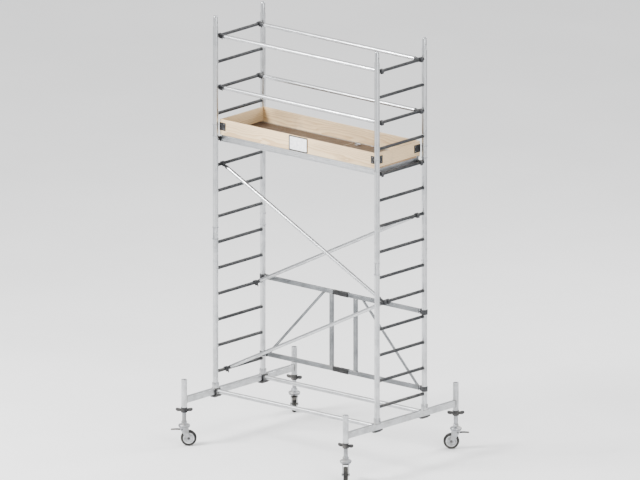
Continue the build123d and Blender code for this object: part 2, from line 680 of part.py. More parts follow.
def lock_sleeve(z):
    """A rectangular sleeve over the butted ends of the two bars, which slides off to the right."""
    y = HALF_WIDTH
    gap = LOCK_SLEEVE_GAP
    wide = GATE_BAR_WIDE / 2 + gap
    high = GATE_BAR_HIGH / 2 + gap
    wall = LOCK_SLEEVE_WALL
    x0 = -LOCK_SLEEVE_LEFT
    x1 = x0 + LOCK_SLEEVE_LENGTH
    body = box(x0, x1, y - wide - wall, y + wide + wall, z - high - wall, z + high + wall)
    body = fillet(body.edges().filter_by(Axis.X), wall)
    return body - box(x0, x1, y - wide, y + wide, z - high, z + high)


# ---- platform ----
PLATFORM_Z = rung_z(PLATFORM_RUNG)
DECK_TOP_Z = PLATFORM_Z + DECK_TOP_UP
DECK_FOOT_Z = DECK_TOP_Z - DECK_THICK
SIDE_FOOT_Z = DECK_TOP_Z - SIDE_BEAM_HIGH
PLATFORM_REACH = HALF_BAY - PLATFORM_END_GAP
SIDE_BEAM_Y = HALF_WIDTH - SIDE_BEAM_IN
SIDE_INNER_Y = SIDE_BEAM_Y - SIDE_BEAM_WIDE / 2
SIDE_OUTER_Y = SIDE_BEAM_Y + SIDE_BEAM_WIDE / 2
HATCH_HIGH_X = HALF_BAY - HATCH_END_IN
HATCH_LOW_X = HATCH_HIGH_X - HATCH_LENGTH
HATCH_HALF_WIDTH = SIDE_INNER_Y - HATCH_STRIP
CROSS_XS = [
    -PLATFORM_REACH + CROSS_WIDE / 2,
    -PLATFORM_REACH * CROSS_LEFT_SHARE,
    HATCH_LOW_X,
    HATCH_HIGH_X,
    PLATFORM_REACH - CROSS_WIDE / 2,
]


def platform_frame():
    """Two hollow side beams and the cross bars that the deck lies on."""
    solids = []
    for sign in ENDS.values():
        y0 = sign * SIDE_BEAM_Y - SIDE_BEAM_WIDE / 2
        y1 = y0 + SIDE_BEAM_WIDE
        beam = box(-PLATFORM_REACH, PLATFORM_REACH, y0, y1, SIDE_FOOT_Z, DECK_TOP_Z)
        wall = SIDE_BEAM_WALL
        beam -= box(
            -PLATFORM_REACH, PLATFORM_REACH, y0 + wall, y1 - wall,
            SIDE_FOOT_Z + wall, DECK_TOP_Z - wall,
        )
        solids.append(beam)
    for x in CROSS_XS:
        half = CROSS_WIDE / 2
        foot = DECK_FOOT_Z - CROSS_HIGH
        solids.append(box(x - half, x + half, -SIDE_INNER_Y, SIDE_INNER_Y, foot, DECK_FOOT_Z))
    return solids


def deck_board():
    """The fixed boards: one sheet with the hatch way cut out of it."""
    edge = SIDE_INNER_Y - DECK_EDGE_GAP
    sheet = box(-PLATFORM_REACH, PLATFORM_REACH, -edge, edge, DECK_FOOT_Z, DECK_TOP_Z)
    half = HATCH_HALF_WIDTH + HATCH_GAP
    x0 = HATCH_LOW_X - HATCH_GAP
    x1 = HATCH_HIGH_X + HATCH_GAP
    return sheet - box(x0, x1, -half, half, DECK_FOOT_Z, DECK_TOP_Z)


HATCH_AXIS_Y = HATCH_HALF_WIDTH + HATCH_GAP / 2
HATCH_AXIS_Z = DECK_TOP_Z + HATCH_AXIS_UP
HATCH_HINGE_XS = [
    HATCH_LOW_X + HATCH_HINGE_INSET,
    (HATCH_LOW_X + HATCH_HIGH_X) / 2,
    HATCH_HIGH_X - HATCH_HINGE_INSET,
]


def hinge_strap(x0, x1, near, far):
    """A flat strap on the deck between two distances from the hinge axis."""
    y0, y1 = sorted((HATCH_AXIS_Y + near, HATCH_AXIS_Y + far))
    return box(x0, x1, y0, y1, DECK_TOP_Z, DECK_TOP_Z + HATCH_STRAP_THICK)


def hatch():
    """The trapdoor leaf, and on it the straps with the hinge eyes."""
    half = HATCH_HALF_WIDTH
    solids = [box(HATCH_LOW_X, HATCH_HIGH_X, -half, half, DECK_FOOT_Z + HATCH_REST_GAP, DECK_TOP_Z)]
    for x in HATCH_HINGE_XS:
        reach = HATCH_EYE_LENGTH / 2
        eye = rod_x(HATCH_AXIS_Y, HATCH_AXIS_Z, x - reach, x + reach, HATCH_EYE_D)
        eye += hinge_strap(x - reach, x + reach, -HATCH_STRAP_START, -HATCH_STRAP_LENGTH)
        bore = HATCH_PIN_D + 2 * HATCH_PIN_GAP
        solids.append(eye - rod_x(HATCH_AXIS_Y, HATCH_AXIS_Z, x - reach, x + reach, bore))
    return solids


def hatch_hinge(x):
    """The fixed half: a strap behind the axis, a knuckle each side of the eye, and the pin."""
    reach = HATCH_EYE_LENGTH / 2 + HATCH_KNUCKLE_GAP
    end = reach + HATCH_KNUCKLE
    half = rod_x(HATCH_AXIS_Y, HATCH_AXIS_Z, x - end, x + end, HATCH_PIN_D)
    for x0, x1 in ((x - end, x - reach), (x + reach, x + end)):
        half += rod_x(HATCH_AXIS_Y, HATCH_AXIS_Z, x0, x1, HATCH_EYE_D)
        half += hinge_strap(x0, x1, HATCH_STRAP_START, HATCH_FIXED_LENGTH)
    return half + hinge_strap(x - end, x + end, HATCH_FIXED_START, HATCH_FIXED_LENGTH)


def platform_claw(sx, sy):
    """The hook at a corner of the platform, over the rung."""
    x = sx * HALF_BAY
    y = sy * SIDE_BEAM_Y
    half = SIDE_BEAM_WIDE / 2
    z = PLATFORM_Z
    body = rod_y(x, z, y - half, y + half, CLAW_D)
    foot = SIDE_FOOT_Z + SIDE_BEAM_WALL + PLATFORM_TONGUE_GAP
    x0, x1 = sorted((x, sx * PLATFORM_REACH))
    body += box(x0, x1, y - half, y + half, foot, z + CLAW_D / 2)
    t0, t1 = sorted((sx * PLATFORM_REACH, sx * (PLATFORM_REACH - PLATFORM_TONGUE)))
    core = half - SIDE_BEAM_WALL - PLATFORM_TONGUE_GAP
    body += box(t0, t1, y - core, y + core, foot, z + CLAW_D / 2)
    mouth = RUNG_D + 2 * CLAW_GAP
    body -= rod_y(x, z, y - half, y + half, mouth)
    return body - box(x - mouth / 2, x + mouth / 2, y - half, y + half, z - CLAW_D, z)


def platform_claws():
    return [platform_claw(sx, sy) for sx in SIDES.values() for sy in ENDS.values()]


# ---- toe boards ----
BOARD_TOP_Z = PLATFORM_Z + BOARD_TOP_UP
BOARD_FOOT_Z = BOARD_TOP_Z - BOARD_HIGH
BOARD_INNER_Y = SIDE_OUTER_Y + BOARD_SIDE_GAP
BOARD_OUTER_Y = BOARD_INNER_Y + BOARD_THICK
END_OUTER_X = HALF_BAY - END_BOARD_IN
END_INNER_X = END_OUTER_X - END_BOARD_THICK


def side_toe_boards():
    boards = []
    for sign in ENDS.values():
        y0, y1 = sorted((sign * BOARD_INNER_Y, sign * BOARD_OUTER_Y))
        boards.append(box(-END_OUTER_X, END_OUTER_X, y0, y1, BOARD_FOOT_Z, BOARD_TOP_Z))
    return boards


def end_toe_boards():
    boards = []
    for sign in SIDES.values():
        x0, x1 = sorted((sign * END_INNER_X, sign * END_OUTER_X))
        foot = DECK_TOP_Z + END_BOARD_LIFT
        boards.append(box(x0, x1, -BOARD_INNER_Y, BOARD_INNER_Y, foot, BOARD_TOP_Z))
    return boards


def corner_clip(sx, sy):
    """A bent strip outside each corner that holds a long and an end board together."""
    wall = BOARD_CLIP_WALL
    x0, x1 = sorted((sx * (END_OUTER_X - BOARD_CLIP_REACH), sx * (END_OUTER_X + wall)))
    y0, y1 = sorted((sy * BOARD_OUTER_Y, sy * (BOARD_OUTER_Y + wall)))
    z0 = BOARD_TOP_Z - BOARD_CLIP_FOOT
    z1 = BOARD_TOP_Z - BOARD_CLIP_TOP
    clip = box(x0, x1, y0, y1, z0, z1)
    x2, x3 = sorted((sx * END_OUTER_X, sx * (END_OUTER_X + wall)))
    y2, y3 = sorted((sy * (BOARD_INNER_Y - BOARD_CLIP_REACH), sy * (BOARD_OUTER_Y + wall)))
    return clip + box(x2, x3, y2, y3, z0, z1)


def toe_board_clips():
    return [corner_clip(sx, sy) for sx in SIDES.values() for sy in ENDS.values()]


def name_plate():
    """A blank plate with a raised border on the front toe board."""
    y1 = -BOARD_OUTER_Y
    y0 = y1 - PLATE_THICK
    half = PLATE_LENGTH / 2
    middle = (BOARD_FOOT_Z + BOARD_TOP_Z) / 2
    rise = PLATE_HIGH / 2
    plate = box(-half, half, y0, y1, middle - rise, middle + rise)
    wide = half - PLATE_RIM
    high = rise - PLATE_RIM
    return plate - box(-wide, wide, y0, y0 + PLATE_RECESS, middle - high, middle + high)


# ---- write every node ----
def main():
    os.makedirs("parts", exist_ok=True)
    for side in SIDES:
        for level in FRAME_FEET:
            save(f"{side}_{level}_frame", frame_solids(side, level))
        save(f"{side}_base_beam", base_beam(side))
        save(f"{side}_claw_triggers", triggers(side))
        save(f"{side}_gate_leaf", gate_leaf(SIDES[side]))
    save("spigots", spigots())
    save("interlock_clips", interlock_clips())
    save("strut_brackets", strut_brackets())
    save("base_struts", [base_strut(sy) for sy in ENDS.values()])
    for side in SIDES:
        for end in ENDS:
            corner = f"{end}_{side}"
            place = castor_place(side, end)
            upright = Pos(SIDES[side] * HALF_BAY, ENDS[end] * SLEEVE_Y, 0)
            turned = upright * Rot(0, 0, NUT_TURN[side, end])
            save(f"{corner}_spindle", [place * item for item in spindle()])
            save(f"{corner}_spindle_nut", [turned * spindle_nut()])
            save(f"{corner}_castor_fork", [place * fork(), place * axle(), place * pedal_pin()])
            save(f"{corner}_tyre", [place * tyre()])
            save(f"{corner}_wheel_hub", [place * wheel_hub()])
            save(f"{corner}_brake_pedal", [place * brake_pedal()])
    for end in ENDS:
        save(f"{end}_guard_rails", [tie_tube(f"{end}_{level}_rail") for level in ("upper", "lower")])
    for name in ("front_upper_brace", "front_lower_brace", "rear_brace"):
        save(name, [tie_tube(name)])
    save("rail_claws", claws("rail"))
    save("brace_claws", claws("brace"))
    save("gate_post_brackets", gate_brackets())
    save("gate_hinges", gate_hinge(GATE_FOOT_Z) + gate_hinge(GATE_TOP_Z))
    save("upper_gate_sleeve", [lock_sleeve(GATE_TOP_Z)])
    save("lower_gate_sleeve", [lock_sleeve(GATE_FOOT_Z)])
    save("platform_frame", platform_frame())
    save("deck_board", [deck_board()])
    save("platform_claws", platform_claws())
    save("side_toe_boards", side_toe_boards())
    save("end_toe_boards", end_toe_boards())
    save("toe_board_clips", toe_board_clips())
    save("name_plate", [name_plate()])
    save("hatch", hatch())
    save("hatch_hinges", [hatch_hinge(x) for x in HATCH_HINGE_XS])


main()
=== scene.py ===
import json
from collections import namedtuple
from math import atan2, cos, pi, radians, sin

import bpy
import numpy as np
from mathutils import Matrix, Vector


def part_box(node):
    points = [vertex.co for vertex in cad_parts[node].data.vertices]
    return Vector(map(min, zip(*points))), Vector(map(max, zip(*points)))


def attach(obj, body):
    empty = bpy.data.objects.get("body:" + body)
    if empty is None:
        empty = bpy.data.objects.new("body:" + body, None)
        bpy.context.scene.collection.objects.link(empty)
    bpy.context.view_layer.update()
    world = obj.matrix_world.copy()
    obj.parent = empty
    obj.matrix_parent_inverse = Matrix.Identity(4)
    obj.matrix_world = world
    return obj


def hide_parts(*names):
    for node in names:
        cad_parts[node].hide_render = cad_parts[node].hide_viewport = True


# Mobile access tower: every piece is a surface worked out in the tower's own frame, in metres.

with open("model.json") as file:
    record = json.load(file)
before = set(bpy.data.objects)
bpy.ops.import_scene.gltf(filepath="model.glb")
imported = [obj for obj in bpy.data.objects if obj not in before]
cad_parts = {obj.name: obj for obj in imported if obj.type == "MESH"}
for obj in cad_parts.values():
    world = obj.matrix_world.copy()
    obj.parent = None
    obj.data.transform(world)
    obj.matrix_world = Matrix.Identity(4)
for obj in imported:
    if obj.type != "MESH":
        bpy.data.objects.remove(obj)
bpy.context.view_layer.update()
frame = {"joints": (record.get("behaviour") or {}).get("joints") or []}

# ---- sizes ----
RUNG_PITCH = 0.25
FIRST_RUNG_UP = 0.155      # foot of a frame to its first rung
POST_R = 0.025
POST_BORE_R = 0.023
RUNG_R = 0.015
WELD_R = 0.0026
BEAD_R = 0.003
TUBE_WALL = 0.002
SPIGOT_R = 0.0208
BEAM_WIDE = 0.04
BEAM_HIGH = 0.06
STUB_R = 0.033             # stub round the foot of a post
STRUT_R = 0.021
STRUT_END_IN = 0.036       # post axis to the end of a base strut
RAIL_R = 0.019
BRACE_R = 0.0175
CLAW_R = 0.0233            # outside of a hook
MOUTH_R = 0.0153
CLAW_HALF = 0.017
NECK = 0.066               # rung axis to the end of the tube
TRAIL = 0.042              # swivel axis to axle
WHEEL_R = 0.075
PEDAL_X, PEDAL_Z = -0.020, 0.160
CHEEK_OUT = 0.030          # wheel's middle to the outside of a fork cheek
# how far each nut's wings are turned from x, in degrees
NUT_TURN = {"front_left": 40.8, "rear_right": 40.8, "front_right": 15.0, "rear_left": 15.0}
SEED = 7

SIDES = {"left": -1, "right": 1}
ENDS = {"front": -1, "rear": 1}
BOTH = (-1, 1)
CORNERS = [(sx, sy) for sx in BOTH for sy in BOTH]
X, Y, Z = np.eye(3)
random = np.random.default_rng(SEED)


def node_box(node):
    """The low and high corners of a CAD node."""
    low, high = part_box(node)
    return np.array(low), np.array(high)


lower_low, lower_high = node_box("right_lower_frame")
POST_X = (lower_low[0] + lower_high[0]) / 2
POST_Y = lower_high[1] - POST_R
FOOT_Z = lower_low[2]
BEAM_FOOT = FOOT_Z - BEAM_HIGH
BEAM_MIDDLE = FOOT_Z - BEAM_HIGH / 2
TOP_Z = node_box("right_upper_frame")[1][2]
FIRST_RUNG_Z = FOOT_Z + FIRST_RUNG_UP
JOINT_Z = [lower_high[2], node_box("right_middle_frame")[1][2]]
deck_low, deck_high = node_box("deck_board")
DECK_TOP = deck_high[2]
DECK_FOOT = deck_low[2]
hatch_low, hatch_high = node_box("hatch")
HATCH_HALF = 0.232


def rung_z(index):
    """Height of a rung counted from the lowest, which is 0."""
    return FIRST_RUNG_Z + index * RUNG_PITCH


# ---- surfaces ----
# local holds each point in the piece's own axes before it is placed, so that grain and drawing
# lines run along every bar whichever way it lies.
Shape = namedtuple("Shape", "verts quads caps local")


def points(x, y, z):
    """Points from three coordinates, each a number or an array."""
    return np.stack(np.broadcast_arrays(x, y, z), axis=-1)


def polar(reach, turn):
    """Flat points at a distance and an angle from the middle."""
    return np.stack([reach * np.cos(turn), reach * np.sin(turn)], axis=-1)


def full_turn(count):
    """Angles that share a whole turn equally."""
    return np.arange(count) * 2 * pi / count


def level(profile, z):
    """A flat profile [k, 2] lifted to the height z."""
    return points(profile[:, 0], profile[:, 1], z)


def loft(rings, ends="caps"):
    """Skin over closed rings [m, k, 3]: neighbours are joined by four-sided faces. The two end rings
    are filled (caps) or joined to each other (loop). Rings run anticlockwise about the way they go."""
    rings = np.asarray(rings, float)
    count, around, _ = rings.shape
    index = np.arange(count * around).reshape(count, around)
    rows = count if ends == "loop" else count - 1
    after = np.roll(index, -1, axis=1)
    above = np.roll(index, -1, axis=0)
    above_after = np.roll(after, -1, axis=0)
    corners = [grid[:rows] for grid in (index, after, above_after, above)]
    quads = np.stack(corners, axis=-1).reshape(-1, 4)
    caps = [] if ends == "loop" else [index[0][::-1], index[-1]]
    verts = rings.reshape(-1, 3)
    return Shape(verts, quads, caps, verts.copy())


def place(shape, origin=(0, 0, 0), x=X, y=Y, z=Z):
    """The shape with its own axes laid along x, y and z and its origin moved to origin."""
    basis = np.array([x, y, z], float)
    quads = shape.quads
    caps = shape.caps
    if np.linalg.det(basis) < 0:
        quads = quads[:, ::-1]
        caps = [cap[::-1] for cap in caps]
    return Shape(shape.verts @ basis + np.asarray(origin, float), quads, caps, shape.local)


def axes_along(direction, up=Z):
    """Unit axes with z along a direction and y as near to up as it can be."""
    z = np.asarray(direction, float)
    z = z / np.linalg.norm(z)
    side = np.cross(up, z)
    if np.linalg.norm(side) < 1e-6:
        side = np.cross(X if abs(z[1]) > 0.9 else Y, z)
    x = side / np.linalg.norm(side)
    return x, np.cross(z, x), z


def circle(radius, count=32):
    """A circle: one distance, a whole turn of angles."""
    return polar(radius, full_turn(count))


def fluted(radius, depth, ribs, per_rib=5):
    """A circle whose radius dips by depth between round-topped ribs: by one less the size of the
    cosine of half the rib count times the angle."""
    turn = full_turn(ribs * per_rib)
    return polar(radius - depth * (1 - np.abs(np.cos(turn * ribs / 2))), turn)


def rounded(wide, high, radius, steps=4):
    """A rectangle with quarter circles at its corners."""
    turn = np.linspace(0, pi / 2, steps + 1)
    corners = []
    for quarter, (sx, sy) in enumerate(((1, 1), (-1, 1), (-1, -1), (1, -1))):
        centre = np.array([sx * (wide / 2 - radius), sy * (high / 2 - radius)])
        corners.append(centre + polar(radius, turn + quarter * pi / 2))
    return np.concatenate(corners)


def grooved(wide, high, radius, groove=0.0008, count=3):
    """A rounded rectangle with lengthwise grooves on its two tall faces (y runs up): each face dips
    by the positive half of a sine."""
    corners = rounded(wide, high, radius).reshape(4, -1, 2)
    steps = np.linspace(-1, 1, 8 * count + 1)[1:-1] * (high / 2 - 1.5 * radius)
    dip = groove * np.clip(np.sin(np.linspace(0, count * 2 * pi, len(steps))), 0, 1)
    right = np.stack([wide / 2 - dip, steps], axis=1)
    return np.concatenate([corners[0], corners[1], -right, corners[2], corners[3], right])


def section_rings(profile, heights, scales):
    """One ring per height: the profile scaled about its middle."""
    scales = np.asarray(scales, float)[:, None]
    return points(scales * profile[:, 0], scales * profile[:, 1], np.asarray(heights, float)[:, None])


def drawn(shape):
    """The shape with its own place slid along it by a random amount, so no two bars look the same."""
    shape.local[:, 2] += random.uniform(0, 9)
    return shape


def bar(profile, start, end, up=Z, bore=None, chamfer=0.0012):
    """The profile carried straight from start to end, its ends eased by a chamfer. A bore profile
    with as many points makes it a tube."""
    start = np.asarray(start, float)
    run = np.asarray(end, float) - start
    length = np.linalg.norm(run)
    ease = 1 - chamfer / np.abs(profile).max()
    rings = section_rings(profile, [0, chamfer, length - chamfer, length], [ease, 1, 1, ease])
    if bore is not None:
        rings = np.concatenate([rings, section_rings(bore, [length, 0], [1, 1])])
    body = loft(rings, "caps" if bore is None else "loop")
    return place(drawn(body), start, *axes_along(run, up))


def tube(radius, start, end, count=48):
    """A round tube: a circle carried from start to end, with a bore one wall smaller."""
    return bar(circle(radius, count), start, end, bore=circle(radius - TUBE_WALL, count))


def turned(profile, origin=(0, 0, 0), axis=Z, count=40, ends="caps"):
    """A profile of (radius, height) pairs spun about an axis through origin."""
    profile = np.asarray(profile, float)
    rings = section_rings(circle(1.0, count), profile[:, 1], profile[:, 0])
    return place(loft(rings, ends), origin, *axes_along(axis, Y))


def mirrored(half):
    """A profile of (radius, height) pairs and its mirror image below, outwards first."""
    return [(radius, -height) for radius, height in half] + half[::-1]


def pin(radius, half, origin, axis, count=16):
    """A plain pin: two equal circles spun half a length to each side of origin."""
    return turned([(radius, -half), (radius, half)], origin, axis, count)


def ease_outline(corners, radius, steps=4):
    """A closed outline whose corners are replaced by quadratic curves that start radius away."""
    corners = np.asarray(corners, float)
    ends = []
    for step in (1, -1):
        run = np.roll(corners, step, axis=0) - corners
        length = np.linalg.norm(run, axis=1, keepdims=True)
        ends.append((corners + run * np.minimum(radius / length, 0.45))[:, None])
    t = np.linspace(0, 1, steps + 1)[None, :, None]
    curve = (1 - t) ** 2 * ends[0] + 2 * t * (1 - t) * corners[:, None] + t**2 * ends[1]
    return curve.reshape(-1, 2)


def slab(outline, low, high, ease=0.0012):
    """An outline in x and y given a thickness along z, with eased rims."""
    outline = np.asarray(outline, float)
    middle = outline.mean(axis=0)
    shrunk = middle + (outline - middle) * (1 - ease / np.abs(outline - middle).max())
    levels = [(shrunk, low), (outline, low + ease), (outline, high - ease), (shrunk, high)]
    return loft([level(ring, z) for ring, z in levels])


def block(low, high, radius=0.0015, steps=3):
    """A block between two corners with rounded edges: a rounded section carried along its longest
    side, shrinking over the last radius at each end like a quarter circle."""
    low, high = np.minimum(low, high), np.maximum(low, high)
    size = high - low
    longest = int(np.argmax(size))
    wide, tall = (longest + 1) % 3, (longest + 2) % 3
    radius = min(radius, 0.45 * size.min())
    profile = rounded(size[wide], size[tall], radius)
    turn = np.linspace(0, pi / 2, steps + 1)
    heights = radius * (1 - np.cos(turn))
    inset = radius * (1 - np.sin(turn))
    rise = np.concatenate([heights, size[longest] - heights[::-1]])[:, None]
    inset = np.concatenate([inset, inset[::-1]])[:, None]
    shrink_wide = 1 - 2 * inset / size[wide]
    shrink_tall = 1 - 2 * inset / size[tall]
    body = loft(points(shrink_wide * profile[:, 0], shrink_tall * profile[:, 1], rise))
    basis = np.eye(3)
    origin = (low + high) / 2
    origin[longest] = low[longest]
    return place(drawn(body), origin, basis[wide], basis[tall], basis[longest])


def block_about(y, half, xs, zs, radius):
    """A block between two x and two z values, half to each side of y."""
    return block((xs[0], y - half, zs[0]), (xs[1], y + half, zs[1]), radius)


def wire(path, radius, count=10, ends="caps"):
    """A round wire along a path [n, 3]: a circle in the plane square to the path at each point."""
    path = np.asarray(path, float)
    along = np.gradient(path, axis=0)
    if ends == "loop":
        along = np.roll(path, -1, axis=0) - np.roll(path, 1, axis=0)
    along /= np.linalg.norm(along, axis=1, keepdims=True)
    guide = np.where(np.abs(along[:, 2:3]) > 0.9, Y[None], Z[None])
    side = np.cross(guide, along)
    side /= np.linalg.norm(side, axis=1, keepdims=True)
    lift = np.cross(along, side)
    ring = circle(radius, count)
    rings = path[:, None] + ring[None, :, :1] * side[:, None] + ring[None, :, 1:] * lift[:, None]
    return loft(rings, ends)


def hexagon_head(origin, axis, across=0.017, height=0.006):
    """A bolt head: a six-sided section whose top is eased by a cone."""
    corner_r = across / 1.732
    rings = section_rings(circle(corner_r, 6), [0, height * 0.8, height], [1, 1, 0.86])
    return place(loft(rings), origin, *axes_along(axis, Y + 0.3 * X))


def rivet(origin, axis, radius=0.004, height=0.0016):
    """A low dome: its radius falls as a cosine over a quarter turn while it rises as the sine."""
    turn = np.linspace(0, pi / 2, 4)[:-1]
    profile = np.stack([radius * np.cos(turn), height * np.sin(turn)], axis=1)
    return turned(profile, origin, axis, 10)


def weld_round_rung(post_x, post_y, z, facing):
    """A rippled bead where a rung meets a post: its line is the circle of the rung carried onto the
    round wall of the post, and its radius swells and shrinks with each drop."""
    turn = full_turn(96)
    across, up = polar(RUNG_R + WELD_R * 0.4, turn).T
    line = points(across, facing * np.sqrt(POST_R**2 - across**2), up)
    outward = line * [1, 1, 0]
    outward /= np.linalg.norm(outward, axis=1, keepdims=True)
    spread = line * [1, 0, 1]
    spread /= np.linalg.norm(spread, axis=1, keepdims=True)
    size = WELD_R * (1 + 0.16 * np.sin(turn * 26) + 0.1 * np.sin(turn * 3 + z * 40))
    ring = circle(1.0, 8)
    bead = ring[None, :, :1] * spread[:, None] + ring[None, :, 1:] * outward[:, None]
    rings = line[:, None] + size[:, None, None] * bead
    return place(loft(rings[::facing], "loop"), (post_x, post_y, z))


def weld_ring(origin, axis, radius, bead=BEAD_R, drops=30):
    """A rippled bead round a tube: a ring whose thickness swells with each drop."""
    turn = full_turn(drops * 4)[:, None]
    size = bead * (1 + 0.16 * np.sin(turn * drops))
    ring = circle(1.0, 8)
    reach = radius + size * ring[:, 0]
    rings = points(reach * np.cos(turn), reach * np.sin(turn), size * ring[:, 1])
    return place(loft(rings[::-1], "loop"), origin, *axes_along(axis, Y))


# ---- pieces ----
def piece(name, groups, replaces, body="tower", crease=35):
    """One object made of groups of (material, shapes): it rides on a body and stands for CAD nodes."""
    mesh = bpy.data.meshes.new(name)
    shapes = [shape for _, members in groups for shape in members]
    starts = np.cumsum([0] + [len(shape.verts) for shape in shapes])[:-1]
    material_of = [group for group, (_, members) in enumerate(groups) for _ in members]
    loops = []
    sizes = []
    materials = []
    for shape, first, group in zip(shapes, starts, material_of):
        loops.append((shape.quads + first).ravel())
        loops.extend(cap + first for cap in shape.caps)
        sizes.extend([4] * len(shape.quads) + [len(cap) for cap in shape.caps])
        materials.extend([group] * (len(shape.quads) + len(shape.caps)))
    loops = np.concatenate(loops)
    sizes = np.array(sizes)
    verts = np.concatenate([shape.verts for shape in shapes])
    local = np.concatenate([shape.local for shape in shapes])
    mesh.vertices.add(len(verts))
    mesh.vertices.foreach_set("co", verts.ravel().astype(np.float32))
    mesh.loops.add(len(loops))
    mesh.loops.foreach_set("vertex_index", loops.astype(np.int32))
    mesh.polygons.add(len(sizes))
    mesh.polygons.foreach_set("loop_start", (np.cumsum(sizes) - sizes).astype(np.int32))
    for material, _ in groups:
        mesh.materials.append(material)
    mesh.polygons.foreach_set("material_index", np.array(materials, np.int32))
    flow = mesh.attributes.new("local", "FLOAT_VECTOR", "POINT")
    flow.data.foreach_set("vector", local.ravel().astype(np.float32))
    mesh.update(calc_edges=True)
    mesh.polygons.foreach_set("use_smooth", np.ones(len(sizes), bool))
    mesh.set_sharp_from_angle(angle=radians(crease))
    made = bpy.data.objects.new(name, mesh)
    bpy.context.scene.collection.objects.link(made)
    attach(made, body)
    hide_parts(*replaces)


# ---- material groups ----
def link(tree, value, target):
    """Feeds a socket from another, or stores a plain value in it."""
    if isinstance(value, bpy.types.NodeSocket):
        tree.links.new(value, target)
    else:
        target.default_value = value


def give(tree, sockets, **values):
    """Feeds several sockets by name."""
    for key, value in values.items():
        link(tree, value, sockets[key.replace("_", " ")])


def add(tree, kind, settings=None, *given, **inputs):
    """A node with its settings, its first inputs in order and the others by name."""
    made = tree.nodes.new(kind)
    for key, value in (settings or {}).items():
        setattr(made, key, value)
    for index, value in enumerate(given):
        link(tree, value, made.inputs[index])
    give(tree, made.inputs, **inputs)
    return made


def maths(tree, operation, first, second=0.5, clamp=False):
    """One sum on a value or two; clamp holds it between 0 and 1."""
    settings = {"operation": operation, "use_clamp": clamp}
    return add(tree, "ShaderNodeMath", settings, first, second).outputs[0]


def times(tree, first, second, clamp=False):
    """first x second"""
    return maths(tree, "MULTIPLY", first, second, clamp)


def plus(tree, first, second, clamp=False):
    """first + second"""
    return maths(tree, "ADD", first, second, clamp)


def minus(tree, first, second, clamp=False):
    """first - second"""
    return maths(tree, "SUBTRACT", first, second, clamp)


def split(tree, vector):
    """The three coordinates of a vector."""
    return add(tree, "ShaderNodeSeparateXYZ", None, vector).outputs


def grey(tree, value):
    """A grey of the given brightness."""
    return add(tree, "ShaderNodeCombineColor", None, value, value, value).outputs[0]


def mix_colour(tree, factor, first, second, blend="MIX"):
    """first where the factor is 0, second (or its blend with first) where it is 1."""
    made = add(tree, "ShaderNodeMix", {"data_type": "RGBA", "blend_type": blend}, factor)
    link(tree, first, made.inputs[6])
    link(tree, second, made.inputs[7])
    return made.outputs[2]


def ramp(tree, value, low, high, to_low=0.0, to_high=1.0):
    """A smooth rise from to_low to to_high while the value goes from low to high."""
    settings = {"interpolation_type": "SMOOTHSTEP"}
    return add(tree, "ShaderNodeMapRange", settings, value, low, high, to_low, to_high).outputs[0]


def scaled(tree, vector, factors):
    """A vector stretched by a factor along each axis."""
    settings = {"operation": "MULTIPLY"}
    return add(tree, "ShaderNodeVectorMath", settings, vector, factors).outputs[0]


def noise(tree, vector, scale, detail=3.0, rough=0.55):
    """Smooth noise around 0.5."""
    made = add(tree, "ShaderNodeTexNoise", Vector=vector, Scale=scale, Detail=detail, Roughness=rough)
    return made.outputs[0]


def new_group(name, inputs, outputs):
    """An empty shader group with named sockets: (name, kind, value) for each input, (name, kind) for
    each output."""
    tree = bpy.data.node_groups.new(name, "ShaderNodeTree")
    for label, kind, value in inputs:
        socket = tree.interface.new_socket(label, in_out="INPUT", socket_type=kind)
        if value is not None:
            socket.default_value = value
    for label, kind in outputs:
        tree.interface.new_socket(label, in_out="OUTPUT", socket_type=kind)
    return tree, tree.nodes.new("NodeGroupInput").outputs, tree.nodes.new("NodeGroupOutput").inputs


FLOAT = "NodeSocketFloat"
COLOUR = "NodeSocketColor"
VECTOR = "NodeSocketVector"


